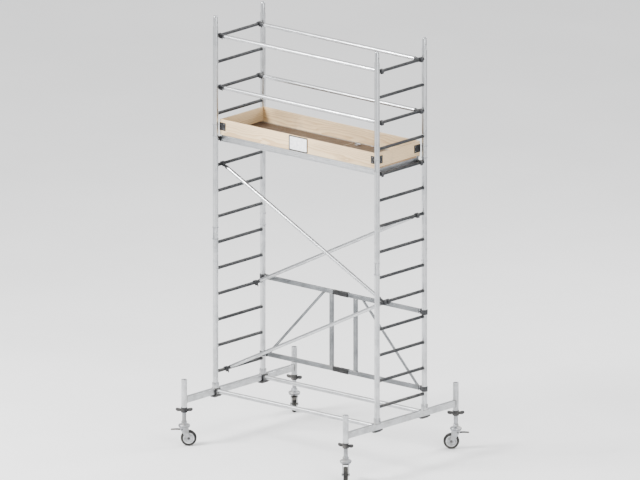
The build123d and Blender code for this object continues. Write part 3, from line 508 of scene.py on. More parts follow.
def make_drawn_metal():
    """Drawing lines along a bar, cloudy oxide, handling scratches and dried splashes of render."""
    tree, given, out = new_group(
        "drawn metal",
        [("Own Place", VECTOR, None), ("Place", VECTOR, None), ("Colour", COLOUR, (0.8, 0.8, 0.8, 1)),
         ("Oxide", FLOAT, 0.5), ("Splash", FLOAT, 0.5), ("Roughness", FLOAT, 0.35)],
        [("Colour", COLOUR), ("Roughness", FLOAT), ("Height", FLOAT)],
    )
    lines = noise(tree, scaled(tree, given["Own Place"], (900, 900, 1.2)), 1.0, 2.0)
    cloud = noise(tree, given["Place"], 7.0, 5.0, 0.6)
    long_marks = noise(tree, scaled(tree, given["Own Place"], (60, 60, 900)), 1.0, 2.0, 0.7)
    patch = ramp(tree, noise(tree, given["Place"], 11.0, 2.0), 0.5, 0.62)
    marks = times(tree, ramp(tree, long_marks, 0.66, 0.72), patch)
    drops = noise(tree, given["Place"], 150.0, 1.0, 0.4)
    where = ramp(tree, noise(tree, given["Place"], 3.1, 2.0), 0.5, 0.68)
    splash = times(tree, times(tree, ramp(tree, drops, 0.71, 0.73), where), given["Splash"])
    dull = times(tree, ramp(tree, cloud, 0.42, 0.66), given["Oxide"])
    darker = mix_colour(tree, 1.0, given["Colour"], (0.66, 0.67, 0.68, 1), "MULTIPLY")
    colour = mix_colour(tree, dull, given["Colour"], darker)
    tone = grey(tree, ramp(tree, lines, 0.3, 0.7, 0.9, 1.06))
    colour = mix_colour(tree, 1.0, colour, tone, "MULTIPLY")
    colour = mix_colour(tree, times(tree, marks, 0.5), colour, (0.9, 0.9, 0.9, 1))
    colour = mix_colour(tree, splash, colour, (0.55, 0.53, 0.49, 1))
    rough = plus(tree, given["Roughness"], times(tree, dull, 0.16))
    rough = plus(tree, rough, times(tree, splash, 0.4))
    rough = plus(tree, rough, ramp(tree, lines, 0.3, 0.7, -0.05, 0.05), True)
    height = minus(tree, times(tree, lines, 0.25), times(tree, marks, 0.35))
    height = plus(tree, height, times(tree, splash, 1.2))
    give(tree, out, Colour=colour, Roughness=rough, Height=height)
    return tree


def make_grime():
    """Dust that lies thicker near the floor and on faces that look up, broken up by noise."""
    tree, given, out = new_group(
        "grime",
        [("Place", VECTOR, None), ("Amount", FLOAT, 0.5), ("Reach", FLOAT, 0.6)],
        [("Mask", FLOAT)],
    )
    height = split(tree, given["Place"])[2]
    low = minus(tree, 1.0, maths(tree, "DIVIDE", height, given["Reach"]), True)
    facing = split(tree, add(tree, "ShaderNodeTexCoord").outputs["Normal"])
    up = maths(tree, "MAXIMUM", facing[2], 0.0)
    cover = plus(tree, times(tree, low, 0.7), times(tree, up, 0.45))
    broken = ramp(tree, noise(tree, given["Place"], 14.0, 7.0, 0.7), 0.36, 0.72)
    give(tree, out, Mask=times(tree, times(tree, cover, broken), given["Amount"], True))
    return tree


def make_edge_wear():
    """A mask of rubbed edges: where the surface is sharply convex, broken up by noise."""
    tree, given, out = new_group(
        "edge wear",
        [("Place", VECTOR, None), ("Amount", FLOAT, 0.5), ("Grain", FLOAT, 60.0)],
        [("Mask", FLOAT)],
    )
    point = add(tree, "ShaderNodeNewGeometry").outputs["Pointiness"]
    sharp = ramp(tree, point, 0.58, 0.70)
    broken = add(tree, "ShaderNodeTexNoise", Vector=given["Place"], Scale=given["Grain"], Detail=6.0)
    mask = times(tree, sharp, ramp(tree, broken.outputs[0], 0.46, 0.60))
    give(tree, out, Mask=times(tree, mask, given["Amount"], True))
    return tree


def make_cast_skin():
    """The orange-peel skin of a casting or a moulding, as two sizes of soft bumps."""
    tree, given, out = new_group(
        "cast skin",
        [("Place", VECTOR, None), ("Grain", FLOAT, 500.0)],
        [("Height", FLOAT), ("Tone", FLOAT)],
    )
    fine = add(tree, "ShaderNodeTexNoise", Vector=given["Place"], Scale=given["Grain"], Detail=3.0)
    broad = noise(tree, given["Place"], 38.0, 3.0)
    height = plus(tree, fine.outputs[0], times(tree, broad, 0.5))
    give(tree, out, Height=height, Tone=ramp(tree, broad, 0.3, 0.7))
    return tree


def make_wood_grain():
    """Growth rings of a sawn board: a wave of the distance from the pith, stretched along the board
    and bent by noise, with fine pores and a few knots."""
    tree, given, out = new_group(
        "wood grain",
        [("Place", VECTOR, None), ("Light", COLOUR, (0.8, 0.62, 0.4, 1)),
         ("Dark", COLOUR, (0.5, 0.3, 0.14, 1)), ("Rings", FLOAT, 45.0)],
        [("Colour", COLOUR), ("Height", FLOAT), ("Ring", FLOAT)],
    )
    bend = noise(tree, scaled(tree, given["Place"], (1.1, 6, 6)), 1.0, 3.0)
    long_place = scaled(tree, given["Place"], (0.05, 1.0, 1.0))
    aside = [0.0, times(tree, bend, 0.05), times(tree, bend, 0.09)]
    aside = add(tree, "ShaderNodeCombineXYZ", None, *aside).outputs[0]
    bent = add(tree, "ShaderNodeVectorMath", {"operation": "ADD"}, long_place, aside).outputs[0]
    _, across, up = split(tree, bent)
    squares = plus(tree, maths(tree, "POWER", across, 2.0), maths(tree, "POWER", up, 2.0))
    far = maths(tree, "SQRT", squares)
    ring = ramp(tree, maths(tree, "FRACT", times(tree, far, given["Rings"])), 0.35, 0.98)
    pores = noise(tree, scaled(tree, given["Place"], (9, 700, 700)), 1.0, 2.0)
    colour = mix_colour(tree, times(tree, ring, 0.62), given["Light"], given["Dark"])
    colour = mix_colour(tree, ramp(tree, pores, 0.55, 0.75, 0.0, 0.35), colour, given["Dark"])
    blotch = noise(tree, scaled(tree, given["Place"], (0.8, 3, 3)), 1.0, 3.0)
    tone = grey(tree, ramp(tree, blotch, 0.3, 0.7, 0.82, 1.1))
    colour = mix_colour(tree, 1.0, colour, tone, "MULTIPLY")
    give(tree, out, Colour=colour, Height=minus(tree, times(tree, ring, 0.4), pores), Ring=ring)
    return tree


DRAWN_METAL = make_drawn_metal()
GRIME = make_grime()
EDGE_WEAR = make_edge_wear()
CAST_SKIN = make_cast_skin()
WOOD_GRAIN = make_wood_grain()
DUST = (0.34, 0.32, 0.29, 1)
SKIN_DEPTH = 0.0006


# ---- materials ----
def use(tree, group, **inputs):
    """The outputs of a shader group fed with the given inputs."""
    return add(tree, "ShaderNodeGroup", {"node_tree": group}, **inputs).outputs


def new_material(name, **constants):
    """A material with its shader, whose constants sit on the shader's own sockets."""
    material = bpy.data.materials.new(name)
    material.use_nodes = True
    tree = material.node_tree
    shader = tree.nodes["Principled BSDF"].inputs
    give(tree, shader, **constants)
    place_of = tree.nodes.new("ShaderNodeTexCoord").outputs["Object"]
    return material, tree, shader, place_of


def own_place(tree):
    """Each point's place in its own bar or board, before that was laid in the tower."""
    return add(tree, "ShaderNodeAttribute", {"attribute_name": "local"}).outputs["Vector"]


def bump(tree, height, strength, distance=SKIN_DEPTH):
    """The normal of a surface raised by height times distance."""
    made = add(tree, "ShaderNodeBump", Strength=strength, Distance=distance, Height=height)
    return made.outputs[0]


def metal_tube(name, colour, roughness, oxide=0.5, splash=0.6, grime=0.5, metallic=1.0):
    """Drawn tube: the drawing lines follow each bar, dust and dried splashes lie over them."""
    material, tree, shader, place_of = new_material(name)
    drawn_metal = use(tree, DRAWN_METAL, Own_Place=own_place(tree), Place=place_of, Colour=colour,
                      Oxide=oxide, Splash=splash, Roughness=roughness)
    dust = use(tree, GRIME, Place=place_of, Amount=grime, Reach=1.1)["Mask"]
    give(
        tree,
        shader,
        Base_Color=mix_colour(tree, dust, drawn_metal["Colour"], DUST),
        Roughness=plus(tree, drawn_metal["Roughness"], times(tree, dust, 0.35), True),
        Metallic=times(tree, metallic, minus(tree, 1.0, dust)),
        Normal=bump(tree, drawn_metal["Height"], 0.35),
    )
    return material


def cast_metal(name, colour, bare, roughness, wear=0.8, grain=500.0, grime=0.6):
    """A coated casting: orange-peel skin, edges rubbed to the bare metal, dust in the rest."""
    material, tree, shader, place_of = new_material(name)
    skin = use(tree, CAST_SKIN, Place=place_of, Grain=grain)
    worn = use(tree, EDGE_WEAR, Place=place_of, Amount=wear, Grain=70.0)["Mask"]
    dust = use(tree, GRIME, Place=place_of, Amount=grime, Reach=0.8)["Mask"]
    light = tuple(min(1.0, part * 1.5 + 0.01) for part in colour[:3]) + (1,)
    coat = mix_colour(tree, dust, mix_colour(tree, skin["Tone"], colour, light), DUST)
    rough = plus(tree, roughness, times(tree, skin["Tone"], 0.12))
    give(
        tree,
        shader,
        Base_Color=mix_colour(tree, worn, coat, bare),
        Roughness=minus(tree, rough, times(tree, worn, 0.15), True),
        Metallic=maths(tree, "MAXIMUM", 0.0, worn),
        Normal=bump(tree, skin["Height"], 0.4, 0.0005),
    )
    return material


def moulded(name, colour, roughness=0.42):
    """A moulding: a fine-skinned casting whose rubbed edges are only paler."""
    bare = tuple(min(1.0, part * 3 + 0.06) for part in colour[:3]) + (1,)
    return cast_metal(name, colour, bare, roughness, wear=0.35, grain=700.0, grime=0.5)


def rubber():
    """Tyre rubber: a fine skin in two blacks, dusty where it meets the floor."""
    material, tree, shader, place_of = new_material("tyre rubber")
    skin = use(tree, CAST_SKIN, Place=place_of, Grain=900.0)
    dust = use(tree, GRIME, Place=place_of, Amount=1.0, Reach=0.22)["Mask"]
    base = mix_colour(tree, skin["Tone"], (0.016, 0.016, 0.017, 1), (0.035, 0.034, 0.033, 1))
    give(
        tree,
        shader,
        Base_Color=mix_colour(tree, times(tree, dust, 0.6), base, (0.2, 0.19, 0.17, 1)),
        Roughness=ramp(tree, skin["Tone"], 0.0, 1.0, 0.6, 0.8),
        Normal=bump(tree, skin["Height"], 0.5),
    )
    return material


def timber():
    """Pale softwood boards: the grain runs along each board, darker and greyer at rubbed edges."""
    coat = {"Coat_Weight": 0.12, "Coat_Roughness": 0.35}
    material, tree, shader, place_of = new_material("toe board timber", **coat)
    wide, tall, along = split(tree, own_place(tree))
    from_pith = [along, plus(tree, wide, 0.11), plus(tree, tall, 0.02)]
    from_pith = add(tree, "ShaderNodeCombineXYZ", None, *from_pith).outputs[0]
    wood = use(tree, WOOD_GRAIN, Place=from_pith, Light=(0.80, 0.63, 0.41, 1), Dark=(0.55, 0.36, 0.19, 1),
               Rings=95.0)
    worn = use(tree, EDGE_WEAR, Place=place_of, Amount=0.7, Grain=45.0)["Mask"]
    dust = use(tree, GRIME, Place=place_of, Amount=0.5, Reach=0.5)["Mask"]
    stain = ramp(tree, noise(tree, place_of, 5.0, 5.0, 0.65), 0.55, 0.8, 0.0, 0.45)
    colour = mix_colour(tree, stain, wood["Colour"], (0.42, 0.35, 0.27, 1))
    colour = mix_colour(tree, worn, colour, (0.36, 0.30, 0.23, 1))
    give(
        tree,
        shader,
        Base_Color=mix_colour(tree, dust, colour, DUST),
        Roughness=ramp(tree, wood["Ring"], 0.0, 1.0, 0.62, 0.48),
        Normal=bump(tree, wood["Height"], 0.35),
    )
    return material


def deck_film():
    """Film-faced plywood with a pressed mesh on the tread, whose grooves carry painted shade, and bare brown
    veneers showing at its edges.
    """
    material, tree, shader, place_of = new_material("deck film")
    along, across, up = split(tree, place_of)
    mesh_turn = pi / 0.0075
    veneer_turn = 2 * pi / 0.0028
    wires = []
    for slanted in (plus(tree, along, across), minus(tree, along, across)):
        wires.append(maths(tree, "ABSOLUTE", maths(tree, "SINE", times(tree, slanted, mesh_turn))))
    pressed = ramp(tree, maths(tree, "MINIMUM", *wires), 0.0, 0.3)
    from_middle = maths(tree, "ABSOLUTE", minus(tree, up, (DECK_TOP + DECK_FOOT) / 2))
    half = (DECK_TOP - DECK_FOOT) / 2
    flat = ramp(tree, from_middle, half - 0.0010, half - 0.0007)
    veneers = ramp(tree, maths(tree, "SINE", times(tree, up, veneer_turn)), -0.3, 0.3)
    edge = mix_colour(tree, veneers, (0.36, 0.22, 0.12, 1), (0.60, 0.42, 0.25, 1))
    worn = ramp(tree, noise(tree, place_of, 1.6, 5.0, 0.6), 0.48, 0.8)
    film = mix_colour(tree, worn, (0.075, 0.043, 0.028, 1), (0.125, 0.085, 0.060, 1))
    # painted shade: the grooves of the pressed mesh are coloured darker than the film, in the recesses of the
    # bump
    film = mix_colour(tree, pressed, (0.05, 0.032, 0.024, 1), film)
    dust = use(tree, GRIME, Place=place_of, Amount=0.4, Reach=0.5)["Mask"]
    give(
        tree,
        shader,
        Base_Color=mix_colour(tree, flat, edge, mix_colour(tree, dust, film, DUST)),
        Roughness=ramp(tree, worn, 0.0, 1.0, 0.38, 0.62),
        Normal=bump(tree, pressed, 0.5),
    )
    return material


ALUMINIUM = metal_tube("drawn aluminium", (0.60, 0.61, 0.62, 1), 0.30)
RUNG_METAL = metal_tube("dark ribbed rung", (0.075, 0.078, 0.083, 1), 0.42, 0.3, 0.8, 0.7, 0.75)
GATE_METAL = metal_tube("grey anodised bar", (0.30, 0.31, 0.32, 1), 0.38, 0.7, 0.7)
WELD = metal_tube("weld bead", (0.44, 0.44, 0.43, 1), 0.42, 1.0, 0.0, 0.4)
ZINC = metal_tube("zinc plated steel", (0.46, 0.47, 0.49, 1), 0.30, 0.9, 0.3, 0.8)
CAST_BLACK = cast_metal("black cast iron", (0.022, 0.022, 0.024, 1), (0.35, 0.34, 0.33, 1), 0.45)
CAST_CLAW = cast_metal("coated cast claw", (0.035, 0.036, 0.039, 1), (0.55, 0.55, 0.55, 1), 0.42)
PLASTIC_BLACK = moulded("black moulding", (0.018, 0.018, 0.019, 1))
HUB_PLASTIC = moulded("pale nylon", (0.56, 0.57, 0.58, 1), 0.40)
RUBBER = rubber()
TIMBER = timber()
DECK = deck_film()
PLATE_WHITE = (0.80, 0.81, 0.82, 1)
PLATE_FACE = cast_metal("enamelled plate", PLATE_WHITE, (0.45, 0.45, 0.45, 1), 0.28, wear=0.4, grime=0.3)


# ---- side ladders ----
RUNG_PROFILE = fluted(RUNG_R, 0.0012, 20)


def ladder(side, name):
    """One frame of a side: two upright tubes, fluted rungs between them, a bead at each rung end."""
    low, high = node_box(f"{side}_{name}_frame")
    x = SIDES[side] * POST_X
    posts = [tube(POST_R, (x, sy * POST_Y, low[2]), (x, sy * POST_Y, high[2])) for sy in BOTH]
    reach = POST_Y - POST_BORE_R
    rungs = []
    beads = []
    for index in range(round((high[2] - low[2]) / RUNG_PITCH)):
        z = low[2] + FIRST_RUNG_UP + index * RUNG_PITCH
        rungs.append(bar(RUNG_PROFILE, (x, -reach, z), (x, reach, z), chamfer=0.0))
        beads.extend(weld_round_rung(x, sy * POST_Y, z, -sy) for sy in BOTH)
    groups = [(ALUMINIUM, posts), (RUNG_METAL, rungs), (WELD, beads)]
    piece(f"{side}_{name}_ladder", groups, [f"{side}_{name}_frame"])


def spigot_tubes():
    """Each spigot: a spun tube with a rounded lip. The top ones have a locking hole with a rim."""
    stand = node_box("spigots")[1][2] - TOP_Z
    depth, bore = 0.1, 0.018
    hole_up, hole_r = 0.42 * stand, 0.006
    profile = [
        (SPIGOT_R, -depth), (SPIGOT_R, 0.0), (SPIGOT_R, stand - 0.006), (SPIGOT_R - 0.0012, stand - 0.002),
        (SPIGOT_R - 0.003, stand), (bore + 0.0005, stand - 0.0005), (bore, stand - 0.002), (bore, -depth),
    ]
    tubes = []
    rims = []
    for sx, sy in CORNERS:
        post = np.array([sx * POST_X, sy * POST_Y, 0])
        tubes.extend(turned(profile, post + z * Z, ends="loop") for z in JOINT_Z + [TOP_Z])
        for facing in BOTH:
            centre = post + facing * (SPIGOT_R - 0.0006) * X + (TOP_Z + hole_up) * Z
            rims.append(weld_ring(centre, facing * X, hole_r, 0.0012, 8))
    piece("spigot_tubes", [(ALUMINIUM, tubes), (CAST_BLACK, rims)], ["spigots"])


def interlock_wires():
    """Each clip: a wire that runs round the outside of the post below the joint, up beside it and
    round again above it."""
    wires = []
    sweep = np.linspace(-2.3, 2.3, 33)
    reach = POST_R + 0.0028
    rise = 0.056
    leg = np.linspace(-rise, rise, 5)
    for sx, sy in CORNERS:
        for z in JOINT_Z:
            centre = np.array([sx * POST_X, sy * POST_Y, z])
            around = centre + points(reach * np.sin(sweep), sy * reach * np.cos(sweep), 0)
            upright = centre + points(0, sy * reach, leg)
            wires.extend(wire(path, 0.0027) for path in (around - rise * Z, around + rise * Z, upright))
    piece("interlock_wires", [(ZINC, wires)], ["interlock_clips"])


# ---- base ----
def base_beam(side):
    """A grooved box beam; at each end a spun sleeve for the spindle, and a collar under each post.
    The seams follow the sleeve's circle over and under the beam and run straight up its sides."""
    low, high = node_box(f"{side}_base_beam")
    x = SIDES[side] * POST_X
    sleeve_r, bore, lip = 0.027, 0.023, 0.0015
    sleeve_y = high[1] - sleeve_r
    reach = sleeve_y - sleeve_r + 0.002
    sleeve = [
        (sleeve_r - lip, low[2]), (sleeve_r, low[2] + lip), (sleeve_r, high[2] - lip),
        (sleeve_r - lip, high[2]), (bore + 0.0005, high[2]), (bore, high[2] - lip), (bore, low[2]),
    ]
    collar = [
        (STUB_R - 0.0008, 0.001), (STUB_R, 0.002), (STUB_R, 0.046), (STUB_R - 0.0015, 0.05),
        (STUB_R - 0.006, 0.05), (STUB_R - 0.0075, 0.048), (STUB_R - 0.0075, 0.001),
    ]
    collar = [(radius, FOOT_Z + up) for radius, up in collar]
    profile = grooved(BEAM_WIDE, BEAM_HIGH, 0.004)
    bars = [bar(profile, (x, -reach, BEAM_MIDDLE), (x, reach, BEAM_MIDDLE), chamfer=0.0)]
    beads = []
    bolts = []
    seam = np.linspace(-0.8, 0.8, 25)
    rise = np.linspace(BEAM_FOOT, FOOT_Z, 21)
    for sy in BOTH:
        y = sy * sleeve_y
        bars.append(turned(sleeve, (x, y, 0), count=48, ends="loop"))
        for z in (BEAM_FOOT, FOOT_Z):
            beads.append(wire(points(x + 0.028 * np.sin(seam), y - sy * 0.0285 * np.cos(seam), z), BEAD_R, 8))
        for edge in BOTH:
            beads.append(wire(points(x + edge * 0.0205, y - sy * 0.0195, rise), BEAD_R, 8))
        post_y = sy * POST_Y
        bars.append(turned(collar, (x, post_y, 0), count=48, ends="loop"))
        beads.append(weld_ring((x, post_y, FOOT_Z + 0.002), Z, STUB_R))
        outward = SIDES[side] * X
        bolts.append(hexagon_head((x, post_y, FOOT_Z + 0.026) + outward * (STUB_R - 0.001), outward))
    groups = [(ALUMINIUM, bars), (WELD, beads), (ZINC, bolts)]
    piece(f"{side}_beam", groups, [f"{side}_base_beam"])


def strut_ends():
    """Saddles under the beams: a trough with lapped sides, a cheek plate and two bolts."""
    shapes = []
    bolts = []
    low = FOOT_Z - 0.084
    for sx, sy in CORNERS:
        x, y = sx * POST_X, sy * POST_Y
        inner = x - sx * STRUT_END_IN
        trough = [low + 0.008, BEAM_FOOT - 0.0005]
        shapes.append(block_about(y, 0.065, [x + sx * 0.02, inner], trough, 0.006))
        shapes.append(block_about(y, 0.0325, [x - sx * 0.0205, inner], [FOOT_Z - 0.07, FOOT_Z], 0.004))
        pad = [x + sx * 0.014, inner + sx * 0.006]
        shapes.append(block_about(y, 0.045, pad, [low, low + 0.012], 0.005))
        bolts.extend(hexagon_head((x, y + step * 0.05, low + 0.008), -Z) for step in BOTH)
    groups = [(CAST_CLAW, shapes), (ZINC, bolts)]
    piece("strut_saddles", groups, ["strut_brackets"])


def base_struts():
    """A round tube at the front and one at the rear, with a bead where each meets its saddles."""
    reach = POST_X - STRUT_END_IN
    tubes = []
    beads = []
    for sy in BOTH:
        near, far = np.array([[sx * reach, sy * POST_Y, BEAM_MIDDLE] for sx in BOTH])
        tubes.append(tube(STRUT_R, near, far))
        beads.extend(weld_ring(end, X, STRUT_R) for end in (near, far))
    piece("base_strut_tubes", [(ALUMINIUM, tubes), (WELD, beads)], ["base_struts"])


# ---- castors ----
def thread(radius, depth, pitch, low, high, around=40, per_turn=8):
    """A threaded rod: the radius at turn t and height z dips by a rounded triangle of
    z / pitch - t / (2 pi), and both ends are eased. Its top has a bore."""
    rows = int((high - low) / pitch * per_turn)
    z = np.linspace(low, high, rows)[:, None]
    turn = full_turn(around)
    phase = np.mod(z / pitch - turn / (2 * pi), 1.0)
    tooth = np.clip(np.abs(phase - 0.5) * 2.6 - 0.3, 0, 1)
    ease = np.clip(np.minimum(z - low, high - z) / pitch, 0, 1)
    reach = radius - depth * tooth - depth * 1.5 * (1 - ease)
    rings = points(reach * np.cos(turn), reach * np.sin(turn), z)
    bore = circle(radius * 0.65, around)
    return loft(np.concatenate([rings, [level(bore, high), level(bore, high - 0.03)]]))


def wing_nut():
    """A collar with a flange and two upswept wings: each wing is an oval section that grows outwards
    and then rounds off."""
    height, bore = 0.046, 0.0206
    collar = [
        (bore, 0.0), (0.030, 0.0), (0.0315, 0.002), (0.0315, 0.010), (0.028, 0.014), (0.028, height - 0.008),
        (0.031, height - 0.005), (0.031, height - 0.001), (0.030, height), (bore, height),
    ]
    shapes = [turned(collar, ends="loop", count=48)]
    tip = 0.070 + 0.011 * np.sin(np.linspace(0.3, pi / 2, 5))
    out = np.concatenate([[0.020], np.linspace(0.026, 0.070, 9), tip])[:, None]
    share = np.clip((out - 0.026) / 0.055, 0, 1)
    fade = np.sqrt(np.clip(1 - np.clip((out - 0.068) / 0.0131, 0, 1) ** 2, 0.004, 1))
    tall = (0.012 + 0.005 * np.sin(share * pi * 0.9)) * fade
    wide = (0.0075 - 0.001 * share) * fade
    middle = height * 0.5 + 0.006 * share**2
    across, up = circle(1.0, 20).T
    for side in BOTH:
        shapes.append(loft(points(side * out, wide * across * side, middle + tall * up)))
    return shapes


def fork_shapes():
    """Pressed crown with a rolled edge, two cheeks with flanged rims, the axle and the pedal's pin."""
    low, top, bore = 0.1755, 0.1895, 0.0075
    crown = [
        (bore, low), (0.046, low), (0.051, low + 0.003), (0.052, low + 0.007), (0.051, top - 0.002),
        (0.048, top), (bore, top),
    ]
    pressed = [turned(crown, count=48, ends="loop")]
    axle = np.array([TRAIL, 0, WHEEL_R])
    pedal_pin = np.array([PEDAL_X, 0, PEDAL_Z])
    round_end = axle[[0, 2]] + polar(0.021, np.linspace(-pi * 0.86, -pi * 0.14, 13))
    shoulders = [[TRAIL, 0.135], [0.039, 0.168], [0.039, 0.177], [-0.039, 0.177], [-0.039, 0.166]]
    outline = ease_outline(np.concatenate([round_end, shoulders]), 0.006)
    cheek = slab(outline, CHEEK_OUT - 0.005, CHEEK_OUT, 0.001)
    washer = [(0.0125, 0), (0.0125, 0.0018), (0.007, 0.002)]
    bolts = []
    for side in BOTH:
        out = side * Y
        pressed.append(place(cheek, x=X, y=Z, z=out))
        rim = points(outline[:, 0], side * (CHEEK_OUT - 0.0003), outline[:, 1])
        pressed.append(wire(rim, 0.0012, 6, "loop"))
        bolts.append(turned(washer, axle + CHEEK_OUT * out, out))
        bolts.append(hexagon_head(axle + (CHEEK_OUT + 0.0018) * out, out, 0.021, 0.006))
        cap = [(0.0068, 0), (0.0068, 0.004), (0.005, 0.005)]
        bolts.append(turned(cap, pedal_pin + CHEEK_OUT * out, out, 20))
    bolts.append(pin(0.007, CHEEK_OUT - 0.001, axle, Y, 24))
    bolts.append(pin(0.004, CHEEK_OUT - 0.0005, pedal_pin, Y))
    return pressed, bolts


def head_shapes():
    """The head over the swivel: a domed plate on a race, the collar that grips the spindle, king pin."""
    foot, top, bore = 0.1902, 0.238, 0.019
    head = [
        (0.054, foot), (0.0555, 0.192), (0.056, 0.196), (0.0545, 0.201), (0.049, 0.206), (0.040, 0.2095),
        (0.030, 0.2125), (0.0265, 0.216), (0.026, 0.236), (0.0245, top), (bore, top), (bore, foot),
    ]
    king_pin = [(0.010, 0.1703), (0.010, 0.1743), (0.007, 0.175), (0.007, 0.1905)]
    shapes = [turned(head, count=56, ends="loop"), turned(king_pin, count=24)]
    for side in BOTH:
        shapes.append(hexagon_head((0, side * 0.0255, 0.227), side * Y, 0.013, 0.004))
    return shapes


def tyre_shape():
    """A solid tyre: crowned tread with two grooves, rounded shoulders and a thin side rib."""
    half = [
        (0.0525, 0.020), (0.056, 0.022), (0.064, 0.022), (0.0655, 0.0212), (0.0668, 0.022), (0.0700, 0.021),
        (0.0733, 0.0175), (0.0744, 0.011), (0.0746, 0.0075), (0.0728, 0.007), (0.0728, 0.0055),
        (WHEEL_R - 0.0001, 0.005),
    ]
    profile = mirrored(half)
    profile.insert(len(half), (WHEEL_R, 0.0))
    return turned(profile, (TRAIL, 0, WHEEL_R), Y, 72, "loop")


def hub_shapes():
    """A wheel centre: rim, thin web, eight ribs each side and a bearing boss with its cover."""
    half, web = 0.021, 0.004
    section = [
        (0.0078, half + 0.0007), (0.016, half + 0.0007), (0.0175, half), (0.018, web), (0.0455, web),
        (0.0465, half), (0.0495, half + 0.0008), (0.0525, half),
    ]
    shapes = [turned(mirrored(section), (TRAIL, 0, WHEEL_R), Y, 64, "loop")]
    rib = rounded(0.013, 0.0036, 0.0012)
    for turn in full_turn(8) + pi / 8:
        out = np.array([cos(turn), 0, sin(turn)])
        for side in BOTH:
            foot = np.array([TRAIL, side * 0.010, WHEEL_R])
            shapes.append(bar(rib, foot + 0.016 * out, foot + 0.047 * out, np.cross(Y, out), chamfer=0.0))
    return shapes


def pedal_shapes():
    """A pedal: an eye between the cheeks, and an arm of oval section that widens to a round-ended
    tread with ribs."""
    eye = mirrored([(0.0042, 0.024), (0.0085, 0.024), (0.0088, 0.023)])
    shapes = [turned(eye, (PEDAL_X, 0, PEDAL_Z), Y, 28, "loop")]
    out = np.linspace(0, 1, 24)[:, None]
    half = 0.0225 * np.sqrt(np.clip(1 - np.clip((out - 0.82) / 0.181, 0, 1) ** 2, 0.01, 1))
    dip = -0.004 + 0.003 * np.sin(out * pi) - 0.001 * out
    across, up = rounded(2.0, 2.0, 0.5)[::-1].T
    reach = PEDAL_X - 0.004 - 0.1025 * out
    shapes.append(loft(points(reach, half * across, PEDAL_Z + dip + 0.0035 * up)))
    line = np.linspace(-0.016, 0.016, 9)
    for back in np.arange(0.078, 0.121, 0.007):
        shapes.append(wire(points(-back, line, PEDAL_Z + 0.0005), 0.0014, 8))
    return shapes


def castor(corner):
    """One castor: its shapes are made about the swivel axis and turned to trail as its joints say."""
    places = {joint["name"]: np.array(joint["pos_m"]) for joint in frame["joints"] if "pos_m" in joint}
    origin = places[f"{corner}_swivel"] * [1, 1, 0]
    out = (places[f"{corner}_wheel_spin"] - origin) * [1, 1, 0]
    out /= np.linalg.norm(out)
    side = np.cross(Z, out)

    def set_down(shapes):
        """Shapes made about the swivel axis, turned and moved to this corner."""
        return [place(shape, origin, out, side, Z) for shape in shapes]

    def save(name, groups, body, node):
        """One piece of this castor."""
        piece(f"{corner}_{name}", groups, [f"{corner}_{node}"], f"{corner}_{body}")

    rod = thread(0.020, 0.0016, 0.010, 0.232, node_box(f"{corner}_spindle")[1][2])
    save("spindle_rod", [(ZINC, set_down([rod] + head_shapes()))], "leg", "spindle")
    turn = radians(NUT_TURN[corner])
    wing = np.array([cos(turn), sin(turn), 0])
    seat = origin + node_box(f"{corner}_spindle_nut")[0][2] * Z
    wings = [place(shape, seat, wing, np.cross(Z, wing), Z) for shape in wing_nut()]
    save("wing_nut", [(CAST_BLACK, wings)], "nut", "spindle_nut")
    pressed, bolts = fork_shapes()
    fork = [(ZINC, set_down(pressed)), (CAST_BLACK, set_down(bolts))]
    save("fork", fork, "castor", "castor_fork")
    save("tyre_ring", [(RUBBER, set_down([tyre_shape()]))], "wheel", "tyre")
    save("wheel_centre", [(HUB_PLASTIC, set_down(hub_shapes()))], "wheel", "wheel_hub")
    save("pedal", [(CAST_BLACK, set_down(pedal_shapes()))], "brake", "brake_pedal")


# ---- rails, braces and claws ----
RAIL_Y = node_box("front_guard_rails")[1][1] - RAIL_R
FRONT_UPPER_Y = node_box("front_upper_brace")[1][1] - BRACE_R
FRONT_LOWER_Y = node_box("front_lower_brace")[1][1] - BRACE_R
REAR_BRACE_Y = node_box("rear_brace")[1][1] - BRACE_R
# y, the rungs that the left and right ends hang on, and radius
TIES = {
    "front_upper_rail": (RAIL_Y, 13, 13, RAIL_R),
    "front_lower_rail": (RAIL_Y, 11, 11, RAIL_R),
    "rear_upper_rail": (-RAIL_Y, 13, 13, RAIL_R),
    "rear_lower_rail": (-RAIL_Y, 11, 11, RAIL_R),
    "front_upper_brace": (FRONT_UPPER_Y, 8, 4, BRACE_R),
    "front_lower_brace": (FRONT_LOWER_Y, 0, 4, BRACE_R),
    "rear_brace": (REAR_BRACE_Y, 3, 7, BRACE_R),
}


def tie_tube(name):
    """A tube whose two ends are pressed down onto the necks of its claws: a circle carried straight,
    smaller near each end. Four dimples hold each neck."""
    y, left, right, radius = TIES[name]
    slope = (right - left) * RUNG_PITCH / (2 * POST_X)
    middle = rung_z(left) + slope * POST_X
    reach = POST_X - NECK
    start, end = np.array([[sx * reach, y, middle + sx * slope * reach] for sx in BOTH])
    length = np.linalg.norm(end - start)
    near = np.array([0, 0.002, 0.018, 0.030])
    heights = np.concatenate([near, length - near[::-1]])
    outer = section_rings(circle(radius, 44), heights, [0.90, 0.93, 0.94, 1.0, 1.0, 0.94, 0.93, 0.90])
    inner = section_rings(circle(radius - TUBE_WALL, 44), [length, 0], [0.9, 0.9])
    body = drawn(loft(np.concatenate([outer, inner]), "loop"))
    axes = axes_along(end - start)
    dimples = []
    for at in (0.012, length - 0.012):
        for facing in BOTH:
            centre = start + axes[2] * at + facing * Y * radius * 0.93
            dimples.append(rivet(centre, facing * Y, 0.005, 0.002))
    return place(body, start, *axes), dimples


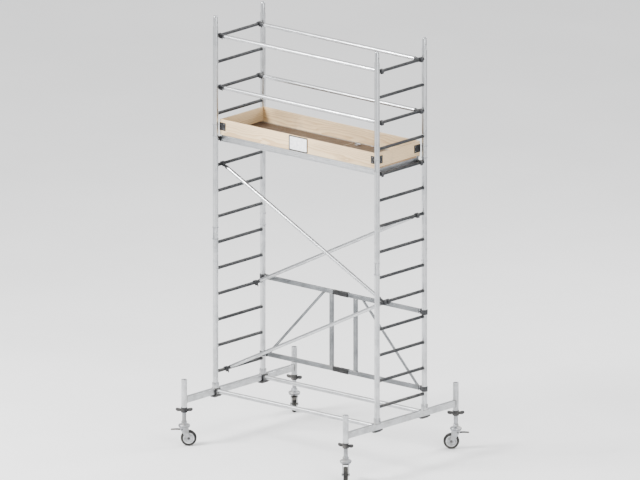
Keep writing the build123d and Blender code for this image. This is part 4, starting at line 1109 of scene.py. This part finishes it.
def claw_outline():
    """The side view of a hook, x towards the middle of the bay: over the rung and down both sides."""
    turn = np.linspace(pi, 0, 17)
    foot = -0.0236
    leg = np.array([
        [CLAW_R, foot + 0.003], [CLAW_R - 0.003, foot], [MOUTH_R + 0.0025, foot], [MOUTH_R, foot + 0.003],
    ])
    return np.concatenate([polar(CLAW_R, turn), leg, polar(MOUTH_R, turn[::-1]), leg[::-1] * [-1, 1]])


def hook(origin, inward, half):
    """A cast hook: the outline of a claw given a width, half to each side of origin."""
    shape = slab(claw_outline()[::-1], -half, half, 0.0015)
    return place(shape, origin, inward, Z, np.cross(inward, Z))


def claw(name, side):
    """A cast hook with a stiffening web, and a spun neck that tapers into its tube."""
    y, left, right, radius = TIES[name]
    sx = SIDES[side]
    origin = np.array([sx * POST_X, y, rung_z(left if side == "left" else right)])
    slope = (right - left) * RUNG_PITCH / (2 * POST_X)
    along = -sx * (X + slope * Z)
    along /= np.linalg.norm(along)
    neck = [(0.72, 0.0195), (0.85, 0.023), (0.89, 0.0515), (1.1, 0.0565), (1.13, 0.0665), (0.97, 0.0668),
            (0.97, 0.090)]
    neck = [(share * (radius - TUBE_WALL), out) for share, out in neck]
    web_start, web_end = (origin + along * out + Z * 0.007 for out in (0.019, 0.052))
    shapes = [
        hook(origin, -sx * X, CLAW_HALF),
        turned(neck, origin, along, 36),
        bar(rounded(0.007, 0.018, 0.002), web_start, web_end, chamfer=0.0),
    ]
    for facing in BOTH:
        shapes.append(rivet(origin + facing * Y * CLAW_HALF + Z * 0.0193, facing * Y, 0.0030, 0.0016))
    return shapes


def rails_and_braces():
    """The tubes of each tie, then all the claws of the rails and all those of the braces."""
    for end in ENDS:
        tubes = []
        dimples = []
        for height in ("upper", "lower"):
            made, pressed = tie_tube(f"{end}_{height}_rail")
            tubes.append(made)
            dimples.extend(pressed)
        groups = [(ALUMINIUM, tubes), (ZINC, dimples)]
        piece(f"{end}_rail_tubes", groups, [f"{end}_guard_rails"])
    for name in ("front_upper_brace", "front_lower_brace", "rear_brace"):
        made, dimples = tie_tube(name)
        groups = [(ALUMINIUM, [made]), (ZINC, dimples)]
        piece(f"{name}_tube", groups, [name])
    for kind in ("rail", "brace"):
        shapes = [shape for name in TIES if kind in name for side in SIDES for shape in claw(name, side)]
        piece(f"{kind}_hooks", [(CAST_CLAW, shapes)], [f"{kind}_claws"])


def triggers(side):
    """Sliding bars across the mouths, each with a thumb piece that has three grip ridges."""
    sx = SIDES[side]
    x = sx * POST_X
    half = 0.0045
    tail = x - sx * 0.0353
    shapes = []
    for y, left, right, _ in TIES.values():
        top = rung_z(left if side == "left" else right) - 0.0157
        shapes.append(block_about(y, half, [x + sx * 0.002, tail], [top - 0.009, top], 0.0012))
        thumb = [tail, tail + sx * 0.0045]
        shapes.append(block_about(y, half, thumb, [top - 0.017, top - 0.0005], 0.0012))
        for drop in (0.0095, 0.0125, 0.0155):
            line = points(tail, y + np.array([-0.004, 0, 0.004]), top - drop)
            shapes.append(wire(line, 0.0008, 6))
    groups = [(PLASTIC_BLACK, shapes)]
    piece(f"{side}_trigger_bars", groups, [f"{side}_claw_triggers"], f"{side}_triggers")


# ---- gate ----
leaf_low, leaf_high = node_box("right_gate_leaf")
GATE_BAR_WIDE = 0.025
GATE_BAR_HIGH = 0.04
GATE_ZS = (leaf_low[2] + GATE_BAR_HIGH / 2, leaf_high[2] - GATE_BAR_HIGH / 2)
HINGE_HALF = 0.0178


def gate_leaf(side):
    """Two grooved bars, an upright between them and a fluted diagonal, with beads where they meet."""
    sx = SIDES[side]
    low, high = node_box(f"{side}_gate_leaf")
    inner, outer = sorted(np.abs([low[0], high[0]]))
    lower, upper = GATE_ZS
    profile = grooved(GATE_BAR_WIDE, GATE_BAR_HIGH, 0.003)
    bars = [bar(profile, (sx * inner, POST_Y, z), (sx * outer, POST_Y, z)) for z in GATE_ZS]
    x = sx * 0.148
    bars.append(bar(profile, (x, POST_Y, lower + 0.019), (x, POST_Y, upper - 0.019), X, chamfer=0.0))
    start = np.array([sx * 0.935, POST_Y, lower])
    end = np.array([sx * 0.225, POST_Y, upper])
    run = (end - start) / np.linalg.norm(end - start)
    inset = run * 0.019 / run[2]
    diagonal_r = 0.0125
    bars.append(bar(fluted(diagonal_r, 0.0006, 16, 3), start + inset, end - inset, Y, chamfer=0.0))
    beads = []
    line = np.linspace(-GATE_BAR_HIGH / 2, GATE_BAR_HIGH / 2, 17)
    for z in (lower + 0.0205, upper - 0.0205):
        for facing in BOTH:
            beads.append(wire(points(x + line, POST_Y + facing * GATE_BAR_WIDE / 2, z), 0.0022, 8))
    for point in (start + inset * 1.08, end - inset * 1.08):
        beads.append(weld_ring(point, run, diagonal_r, 0.0024, 18))
    groups = [(GATE_METAL, bars), (WELD, beads)]
    piece(f"{side}_leaf_bars", groups, [f"{side}_gate_leaf"])


def gate_fittings():
    """Clamps on the rear posts with their tongues and bolts, and the knuckles in the middle."""
    clamps = []
    bolts = []
    for sx in BOTH:
        x = sx * POST_X
        for z in GATE_ZS:
            ring = mirrored([(0.0252, 0.023), (0.030, 0.023), (0.031, 0.0215)])
            ring = [(radius, z + up) for radius, up in ring]
            clamps.append(turned(ring, (x, POST_Y, 0), count=48, ends="loop"))
            lug = [x - sx * 0.027, x - sx * 0.063]
            clamps.append(block_about(POST_Y, 0.016, lug, [z - 0.0225, z + 0.0225], 0.004))
            tongue = [x - sx * 0.06, x - sx * 0.096]
            clamps.append(block_about(POST_Y, 0.010, tongue, [z - 0.0175, z + 0.0175], 0.002))
            for step in (-0.012, 0.012):
                for facing in BOTH:
                    centre = (x - sx * 0.045, POST_Y + facing * 0.0155, z + step)
                    bolts.append(hexagon_head(centre, facing * Y, 0.013, 0.005))
    piece("gate_clamps", [(CAST_CLAW, clamps), (ZINC, bolts)], ["gate_post_brackets"])
    knuckles = []
    sheaths = []
    sheath_low, sheath_high = -0.1254, -0.0404
    liner, liner_bore = rounded(0.028, 0.043, 0.004), rounded(0.0251, 0.0401, 0.003)
    ridge, ridge_bore = rounded(0.0290, 0.044, 0.004), rounded(0.0262, 0.0412, 0.003)
    for z in GATE_ZS:
        for low in (-HINGE_HALF, -0.0058, 0.0062):
            high = low + 0.0116
            barrel = [(0.0095, low), (0.0103, low + 0.001), (0.0103, high - 0.001), (0.0095, high)]
            knuckles.append(turned(barrel, (0, POST_Y, z), Z, 28))
        knuckles.append(pin(0.004, HINGE_HALF + 0.0001, (0, POST_Y, z), Z))
        for sx in BOTH:
            web = [sx * 0.0085, sx * 0.03]
            knuckles.append(block_about(POST_Y, 0.0098, web, [z - 0.0175, z + 0.0175], 0.0015))
        near, far = (sheath_low, POST_Y, z), (sheath_high, POST_Y, z)
        sheaths.append(bar(liner, near, far, bore=liner_bore, chamfer=0.0006))
        for x in np.arange(sheath_low + 0.006, sheath_high - 0.002, 0.008):
            near, far = (x, POST_Y, z), (x + 0.0035, POST_Y, z)
            sheaths.append(bar(ridge, near, far, bore=ridge_bore, chamfer=0.0004))
    piece("gate_knuckles", [(ZINC, knuckles), (PLASTIC_BLACK, sheaths)], ["gate_hinges"])


def lock_sleeve(name):
    """A moulded sleeve: a rounded section carried along x that swells into a collar at each end and
    into five finger ridges between them."""
    low, high = node_box(f"{name}_gate_sleeve")
    heights = [0.0, 0.001, 0.010, 0.013]
    for ridge in range(5):
        heights += [0.019 + ridge * 0.014 + part for part in (0, 0.002, 0.005, 0.007)]
    heights += [0.087, 0.090, 0.099, 0.100]
    collar = [0.97, 1.0, 1.0, 0.955]
    scales = collar + [0.955, 0.985, 0.985, 0.955] * 5 + collar[::-1]
    outer = section_rings(rounded(0.0328, 0.0478, 0.005), heights, scales)
    inner = section_rings(rounded(0.0258, 0.0408, 0.003), [0.100, 0.0], [1, 1])
    start = (low[0], POST_Y, (low[2] + high[2]) / 2)
    body = place(loft(np.concatenate([outer, inner]), "loop"), start, *axes_along(X))
    node = f"{name}_gate_sleeve"
    piece(f"{name}_sleeve", [(PLASTIC_BLACK, [body])], [node], node)


# ---- platform ----
side_low, side_high = node_box("platform_frame")
PLATFORM_REACH = side_high[0]
PLATFORM_RUNG_Z = rung_z(9)
PLATFORM_BAR = 0.030


def platform_frame():
    """Side beams with a lip over the deck and grooves, cross bars, and rows of rivets."""
    beams = []
    rivets = []
    y_mid = side_high[1] - PLATFORM_BAR / 2
    z_mid = (side_low[2] + side_high[2]) / 2
    profile = grooved(PLATFORM_BAR, side_high[2] - side_low[2], 0.003, groove=0.0015, count=4)
    for sy in BOTH:
        near, far = ((sx * PLATFORM_REACH, sy * y_mid, z_mid) for sx in BOTH)
        beams.append(bar(profile, near, far))
        for y0, y1, z0, z1, radius in (
            (0.2648, 0.281, DECK_TOP - 0.0002, DECK_TOP + 0.0016, 0.0006),
            (0.255, 0.268, DECK_FOOT - 0.004, DECK_FOOT - 0.0006, 0.0008),
        ):
            beams.append(block((-PLATFORM_REACH, sy * y0, z0), (PLATFORM_REACH, sy * y1, z1), radius))
        for x in np.arange(-0.9, 0.91, 0.15):
            rivets.append(rivet((x, sy * (y_mid + 0.0149), z_mid - 0.022), sy * Y))
    end_x = PLATFORM_REACH - PLATFORM_BAR / 2
    cross = grooved(PLATFORM_BAR, 0.0496, 0.003)
    z = DECK_FOOT - 0.025
    for x in (-end_x, -PLATFORM_REACH / 3, hatch_low[0], hatch_high[0], end_x):
        beams.append(bar(cross, (x, -0.2652, z), (x, 0.2652, z), chamfer=0.0))
    groups = [(ALUMINIUM, beams), (ZINC, rivets)]
    piece("platform_rails", groups, ["platform_frame"])


def deck_sheet():
    """The fixed deck: a sheet with a square way through it. Rings of four corners run up its outer
    walls, over its face and down the walls of the way through."""
    gap = 0.004
    edge = 0.0008
    half = HATCH_HALF + gap
    x0, x1 = hatch_low[0] - gap, hatch_high[0] + gap

    def ring(low, high, grow, z):
        """Four corners at height z, moved outwards by grow."""
        (left, front), (right, rear) = np.array(low) - grow, np.array(high) + grow
        return [(left, front, z), (right, front, z), (right, rear, z), (left, rear, z)]

    outer = deck_low[:2], deck_high[:2]
    inner = (x0, -half), (x1, half)
    rings = [
        ring(*outer, 0, DECK_FOOT), ring(*outer, 0, DECK_TOP - edge), ring(*outer, -edge, DECK_TOP),
        ring(*inner, edge, DECK_TOP), ring(*inner, 0, DECK_TOP - edge), ring(*inner, 0, DECK_FOOT),
    ]
    screws = []
    for x in np.arange(-0.93, 0.94, 0.186):
        screws.extend(rivet((x, sy * 0.253, DECK_TOP - 0.0003), Z, 0.0042, 0.0010) for sy in BOTH)
    trim = []
    for low, high in (
        ((x0 - 0.009, -half - 0.008), (x0 - 0.001, half)),
        ((x1 + 0.001, -half - 0.008), (x1 + 0.009, half)),
        ((x0 - 0.009, -half - 0.009), (x1 + 0.009, -half - 0.001)),
    ):
        trim.append(block((*low, DECK_TOP - 0.001), (*high, DECK_TOP + 0.0012), 0.0006))
    groups = [(DECK, [loft(rings, "loop")]), (ZINC, screws), (ALUMINIUM, trim)]
    piece("deck_sheet", groups, ["deck_board"])


def hatch_leaf():
    """The trapdoor: its sheet, a lifting ring in its cup, and hinges whose eyes turn on a pin. The
    fixed knuckles and their straps stay on the deck."""
    joint = next(joint for joint in frame["joints"] if joint["name"] == "hatch_lift")
    _, axis_y, axis_z = joint["pos_m"]
    foot, top = DECK_TOP - 0.0002, DECK_TOP + 0.003
    sheet_foot = (hatch_low[0], -HATCH_HALF, DECK_FOOT + 0.0004)
    sheet = block(sheet_foot, (hatch_high[0], HATCH_HALF, DECK_TOP), 0.0008)
    middle_x = (hatch_low[0] + hatch_high[0]) / 2
    pull_y = -HATCH_HALF + 0.07
    cup = [(0.034, -0.0004), (0.036, 0), (0.0345, 0.0012), (0.028, 0.0008), (0.027, -0.0005)]
    cup = [(radius, DECK_TOP + up) for radius, up in cup]
    across, along = polar(0.022, full_turn(40)).T
    ring = wire(points(middle_x + across, pull_y + along, DECK_TOP + 0.0028), 0.0022, 10, "loop")
    metal = [turned(cup, (middle_x, pull_y, 0), count=36), ring]
    eye = mirrored([(0.0032, 0.019), (0.0050, 0.019), (0.0055, 0.0184)])
    knuckle = mirrored([(0.0048, 0.006), (0.0055, 0.0055)])

    def strap(x, half, start, end):
        """A strap half to each side of x, start and end measured from the hinge's axis."""
        return block((x - half, axis_y + start, foot), (x + half, axis_y + end, top), 0.0008)

    def screws(x, y, steps):
        """A row of screw heads on a strap, y measured from the hinge's axis."""
        return [rivet((x + step, axis_y + y, DECK_TOP + 0.0029), Z, 0.0032, 0.0012) for step in steps]

    hinge_xs = (hatch_low[0] + 0.06, middle_x, hatch_high[0] - 0.06)
    moving = []
    for x in hinge_xs:
        moving.append(turned(eye, (x, axis_y, axis_z), X, 24, "loop"))
        moving.append(strap(x, 0.019, -0.034, -0.0036))
        moving.extend(screws(x, -0.025, (-0.011, 0.011)))
    groups = [(DECK, [sheet]), (ALUMINIUM, metal), (ZINC, moving)]
    piece("trapdoor", groups, ["hatch"], "hatch")
    fixed = []
    for x in hinge_xs:
        for side in BOTH:
            centre = x + side * 0.026
            fixed.append(turned(knuckle, (centre, axis_y, axis_z), X, 24))
            fixed.append(strap(centre, 0.006, 0.0036, 0.0272))
        fixed.append(strap(x, 0.032, 0.011, 0.0272))
        fixed.append(pin(0.003, 0.0318, (x, axis_y, axis_z), X))
        fixed.extend(screws(x, 0.020, (-0.022, 0.0, 0.022)))
    piece("trapdoor_hinges", [(ZINC, fixed)], ["hatch_hinges"])


def platform_hooks():
    """Cast hooks at the corners of the platform, each with a body and a tongue in its beam."""
    shapes = []
    zs = [PLATFORM_RUNG_Z - 0.0145, PLATFORM_RUNG_Z + 0.0228]
    for sx, sy in CORNERS:
        y = sy * 0.28
        shapes.append(hook((sx * POST_X, y, PLATFORM_RUNG_Z), -sx * X, 0.015))
        near, far, tongue = sx * (POST_X - 0.019), sx * PLATFORM_REACH, sx * (PLATFORM_REACH - 0.03)
        shapes.append(block_about(y, 0.0145, [near, far], zs, 0.003))
        shapes.append(block_about(y, 0.0120, [far, tongue], zs, 0.002))
    piece("platform_hooks", [(CAST_CLAW, shapes)], ["platform_claws"])


def toe_boards():
    """Long and end boards with rounded edges, and clips of two walls round each corner of them."""
    low, high = node_box("side_toe_boards")
    boards = []
    for sy in BOTH:
        outer, inner = sy * high[1], sy * (high[1] - 0.015)
        boards.append(block((low[0], outer, low[2]), (high[0], inner, high[2]), 0.003))
    piece("long_toe_boards", [(TIMBER, boards)], ["side_toe_boards"], crease=50)
    low, high = node_box("end_toe_boards")
    boards = []
    for sx in BOTH:
        outer, inner = sx * high[0], sx * (high[0] - 0.016)
        boards.append(block((outer, low[1] + 0.0004, low[2]), (inner, high[1] - 0.0004, high[2]), 0.003))
    piece("end_boards", [(TIMBER, boards)], ["end_toe_boards"], crease=50)
    low, high = node_box("toe_board_clips")
    wall = 0.003
    clips = []
    screws = []
    for sx, sy in CORNERS:
        x, y = sx * high[0], sy * high[1]
        for along_x, along_y in ((0.073, wall), (wall, 0.088)):
            inner = (x - sx * along_x, y - sy * along_y, low[2])
            clips.append(block(inner, (x, y, high[2]), 0.0012))
        for z in (low[2] + 0.015, high[2] - 0.015):
            screws.append(rivet((x - sx * 0.055, y - sy * 0.0004, z), sy * Y, 0.004, 0.0014))
            screws.append(rivet((x - sx * 0.0004, y - sy * 0.07, z), sx * X, 0.004, 0.0014))
    piece("corner_clips", [(PLASTIC_BLACK, clips), (ZINC, screws)], ["toe_board_clips"])


def name_plate():
    """A blank plate: dark raised border, pale face a step lower, and a rivet in each corner."""
    low, high = node_box("name_plate")
    size = high - low
    border = 0.010
    outer = rounded(size[0], size[2], 0.008)
    inner = rounded(size[0] - 2 * border, size[2] - 2 * border, 0.004)
    rings = [level(outer, 0.0), level(outer, size[1] - 0.0005), level(outer * 0.997, size[1])]
    rings += [level(inner, size[1]), level(inner, size[1] - 0.0010), level(inner, 0.0)]
    centre = np.array([low[0] + size[0] / 2, high[1], low[2] + size[2] / 2])
    rim = place(loft(rings, "loop"), centre, X, Z, -Y)
    face_top = size[1] - 0.0014
    face = loft([level(inner, face_top - 0.0005), level(inner, face_top)])
    face = place(face, centre, X, Z, -Y)
    rivets = []
    for sx, sz in CORNERS:
        spot = (centre[0] + sx * 0.110, low[1] + 0.0001, centre[2] + sz * 0.0675)
        rivets.append(rivet(spot, -Y, 0.0022, 0.0008))
    groups = [(PLASTIC_BLACK, [rim]), (PLATE_FACE, [face]), (ZINC, rivets)]
    piece("blank_plate", groups, ["name_plate"])


# ---- studio ----
def stand(name, data):
    """An object of the studio, linked to the scene."""
    made = bpy.data.objects.new(name, data)
    bpy.context.scene.collection.objects.link(made)
    return made


def turn_towards(spot, aim):
    """The turn that points an object's own -Z from spot at aim, with its Y up."""
    x, y, z = np.asarray(spot, float) - np.asarray(aim, float)
    return atan2(np.hypot(x, y), z), 0.0, atan2(x, -y)


def studio():
    """A pale floor, a soft grey-white sky, a broad key from the front left and a fill from the right."""
    mesh = bpy.data.meshes.new("floor")
    reach = 120.0
    corners = [(-reach, -reach, 0), (reach, -reach, 0), (reach, reach, 0), (-reach, reach, 0)]
    mesh.from_pydata(corners, [], [(0, 1, 2, 3)])
    material, tree, shader, place_of = new_material("studio floor", Roughness=0.8)
    shade = ramp(tree, noise(tree, place_of, 0.6, 3.0), 0.3, 0.7, 0.86, 0.89)
    give(tree, shader, Base_Color=grey(tree, shade))
    mesh.materials.append(material)
    stand("floor", mesh)
    world = bpy.data.worlds.new("studio sky")
    world.use_nodes = True
    sky = world.node_tree
    # darker near the horizon, so that bright tubes keep dark edges against the pale floor
    rise = ramp(sky, split(sky, sky.nodes.new("ShaderNodeTexCoord").outputs["Generated"])[2], -0.05, 0.75)
    colour = mix_colour(sky, rise, (0.16, 0.17, 0.19, 1), (1.0, 1.0, 1.0, 1))
    give(sky, sky.nodes["Background"].inputs, Color=colour, Strength=1.15)
    bpy.context.scene.world = world
    for name, spot, size, power in (
        ("key", (-4.5, -7.5, 8.5), 3.2, 1500.0),
        ("fill", (8.0, -3.0, 4.5), 3.0, 260.0),
        ("back", (2.0, 8.0, 7.0), 3.0, 420.0),
    ):
        light = bpy.data.lights.new(name, "AREA")
        light.size = size
        light.energy = power
        lamp = stand(name, light)
        lamp.location = spot
        lamp.rotation_euler = turn_towards(spot, (0, 0, 2.0))


def grade():
    """A firmer contrast, so that pale tubes read against the pale floor."""
    bpy.context.scene.view_settings.look = "AgX - Medium High Contrast"


def camera():
    """A parallel view from the front right, a little above."""
    azimuth = radians(40.8)
    elevation = radians(14.9)
    aim = np.array([0.0, 0.0, 2.007])
    away = np.array([sin(azimuth) * cos(elevation), -cos(azimuth) * cos(elevation), sin(elevation)])
    lens = bpy.data.cameras.new("view")
    lens.type = "ORTHO"
    lens.ortho_scale = 6.0
    lens.clip_end = 400.0
    eye = stand("view", lens)
    eye.location = aim + 14.0 * away
    eye.rotation_euler = turn_towards(eye.location, aim)
    bpy.context.scene.camera = eye


# ---- everything ----
for side in SIDES:
    for name in ("lower", "middle", "upper"):
        ladder(side, name)
    base_beam(side)
    gate_leaf(side)
    triggers(side)
    for end in ENDS:
        castor(f"{end}_{side}")
spigot_tubes()
interlock_wires()
strut_ends()
base_struts()
rails_and_braces()
gate_fittings()
lock_sleeve("upper")
lock_sleeve("lower")
platform_frame()
deck_sheet()
hatch_leaf()
platform_hooks()
toe_boards()
name_plate()
studio()
grade()
camera()
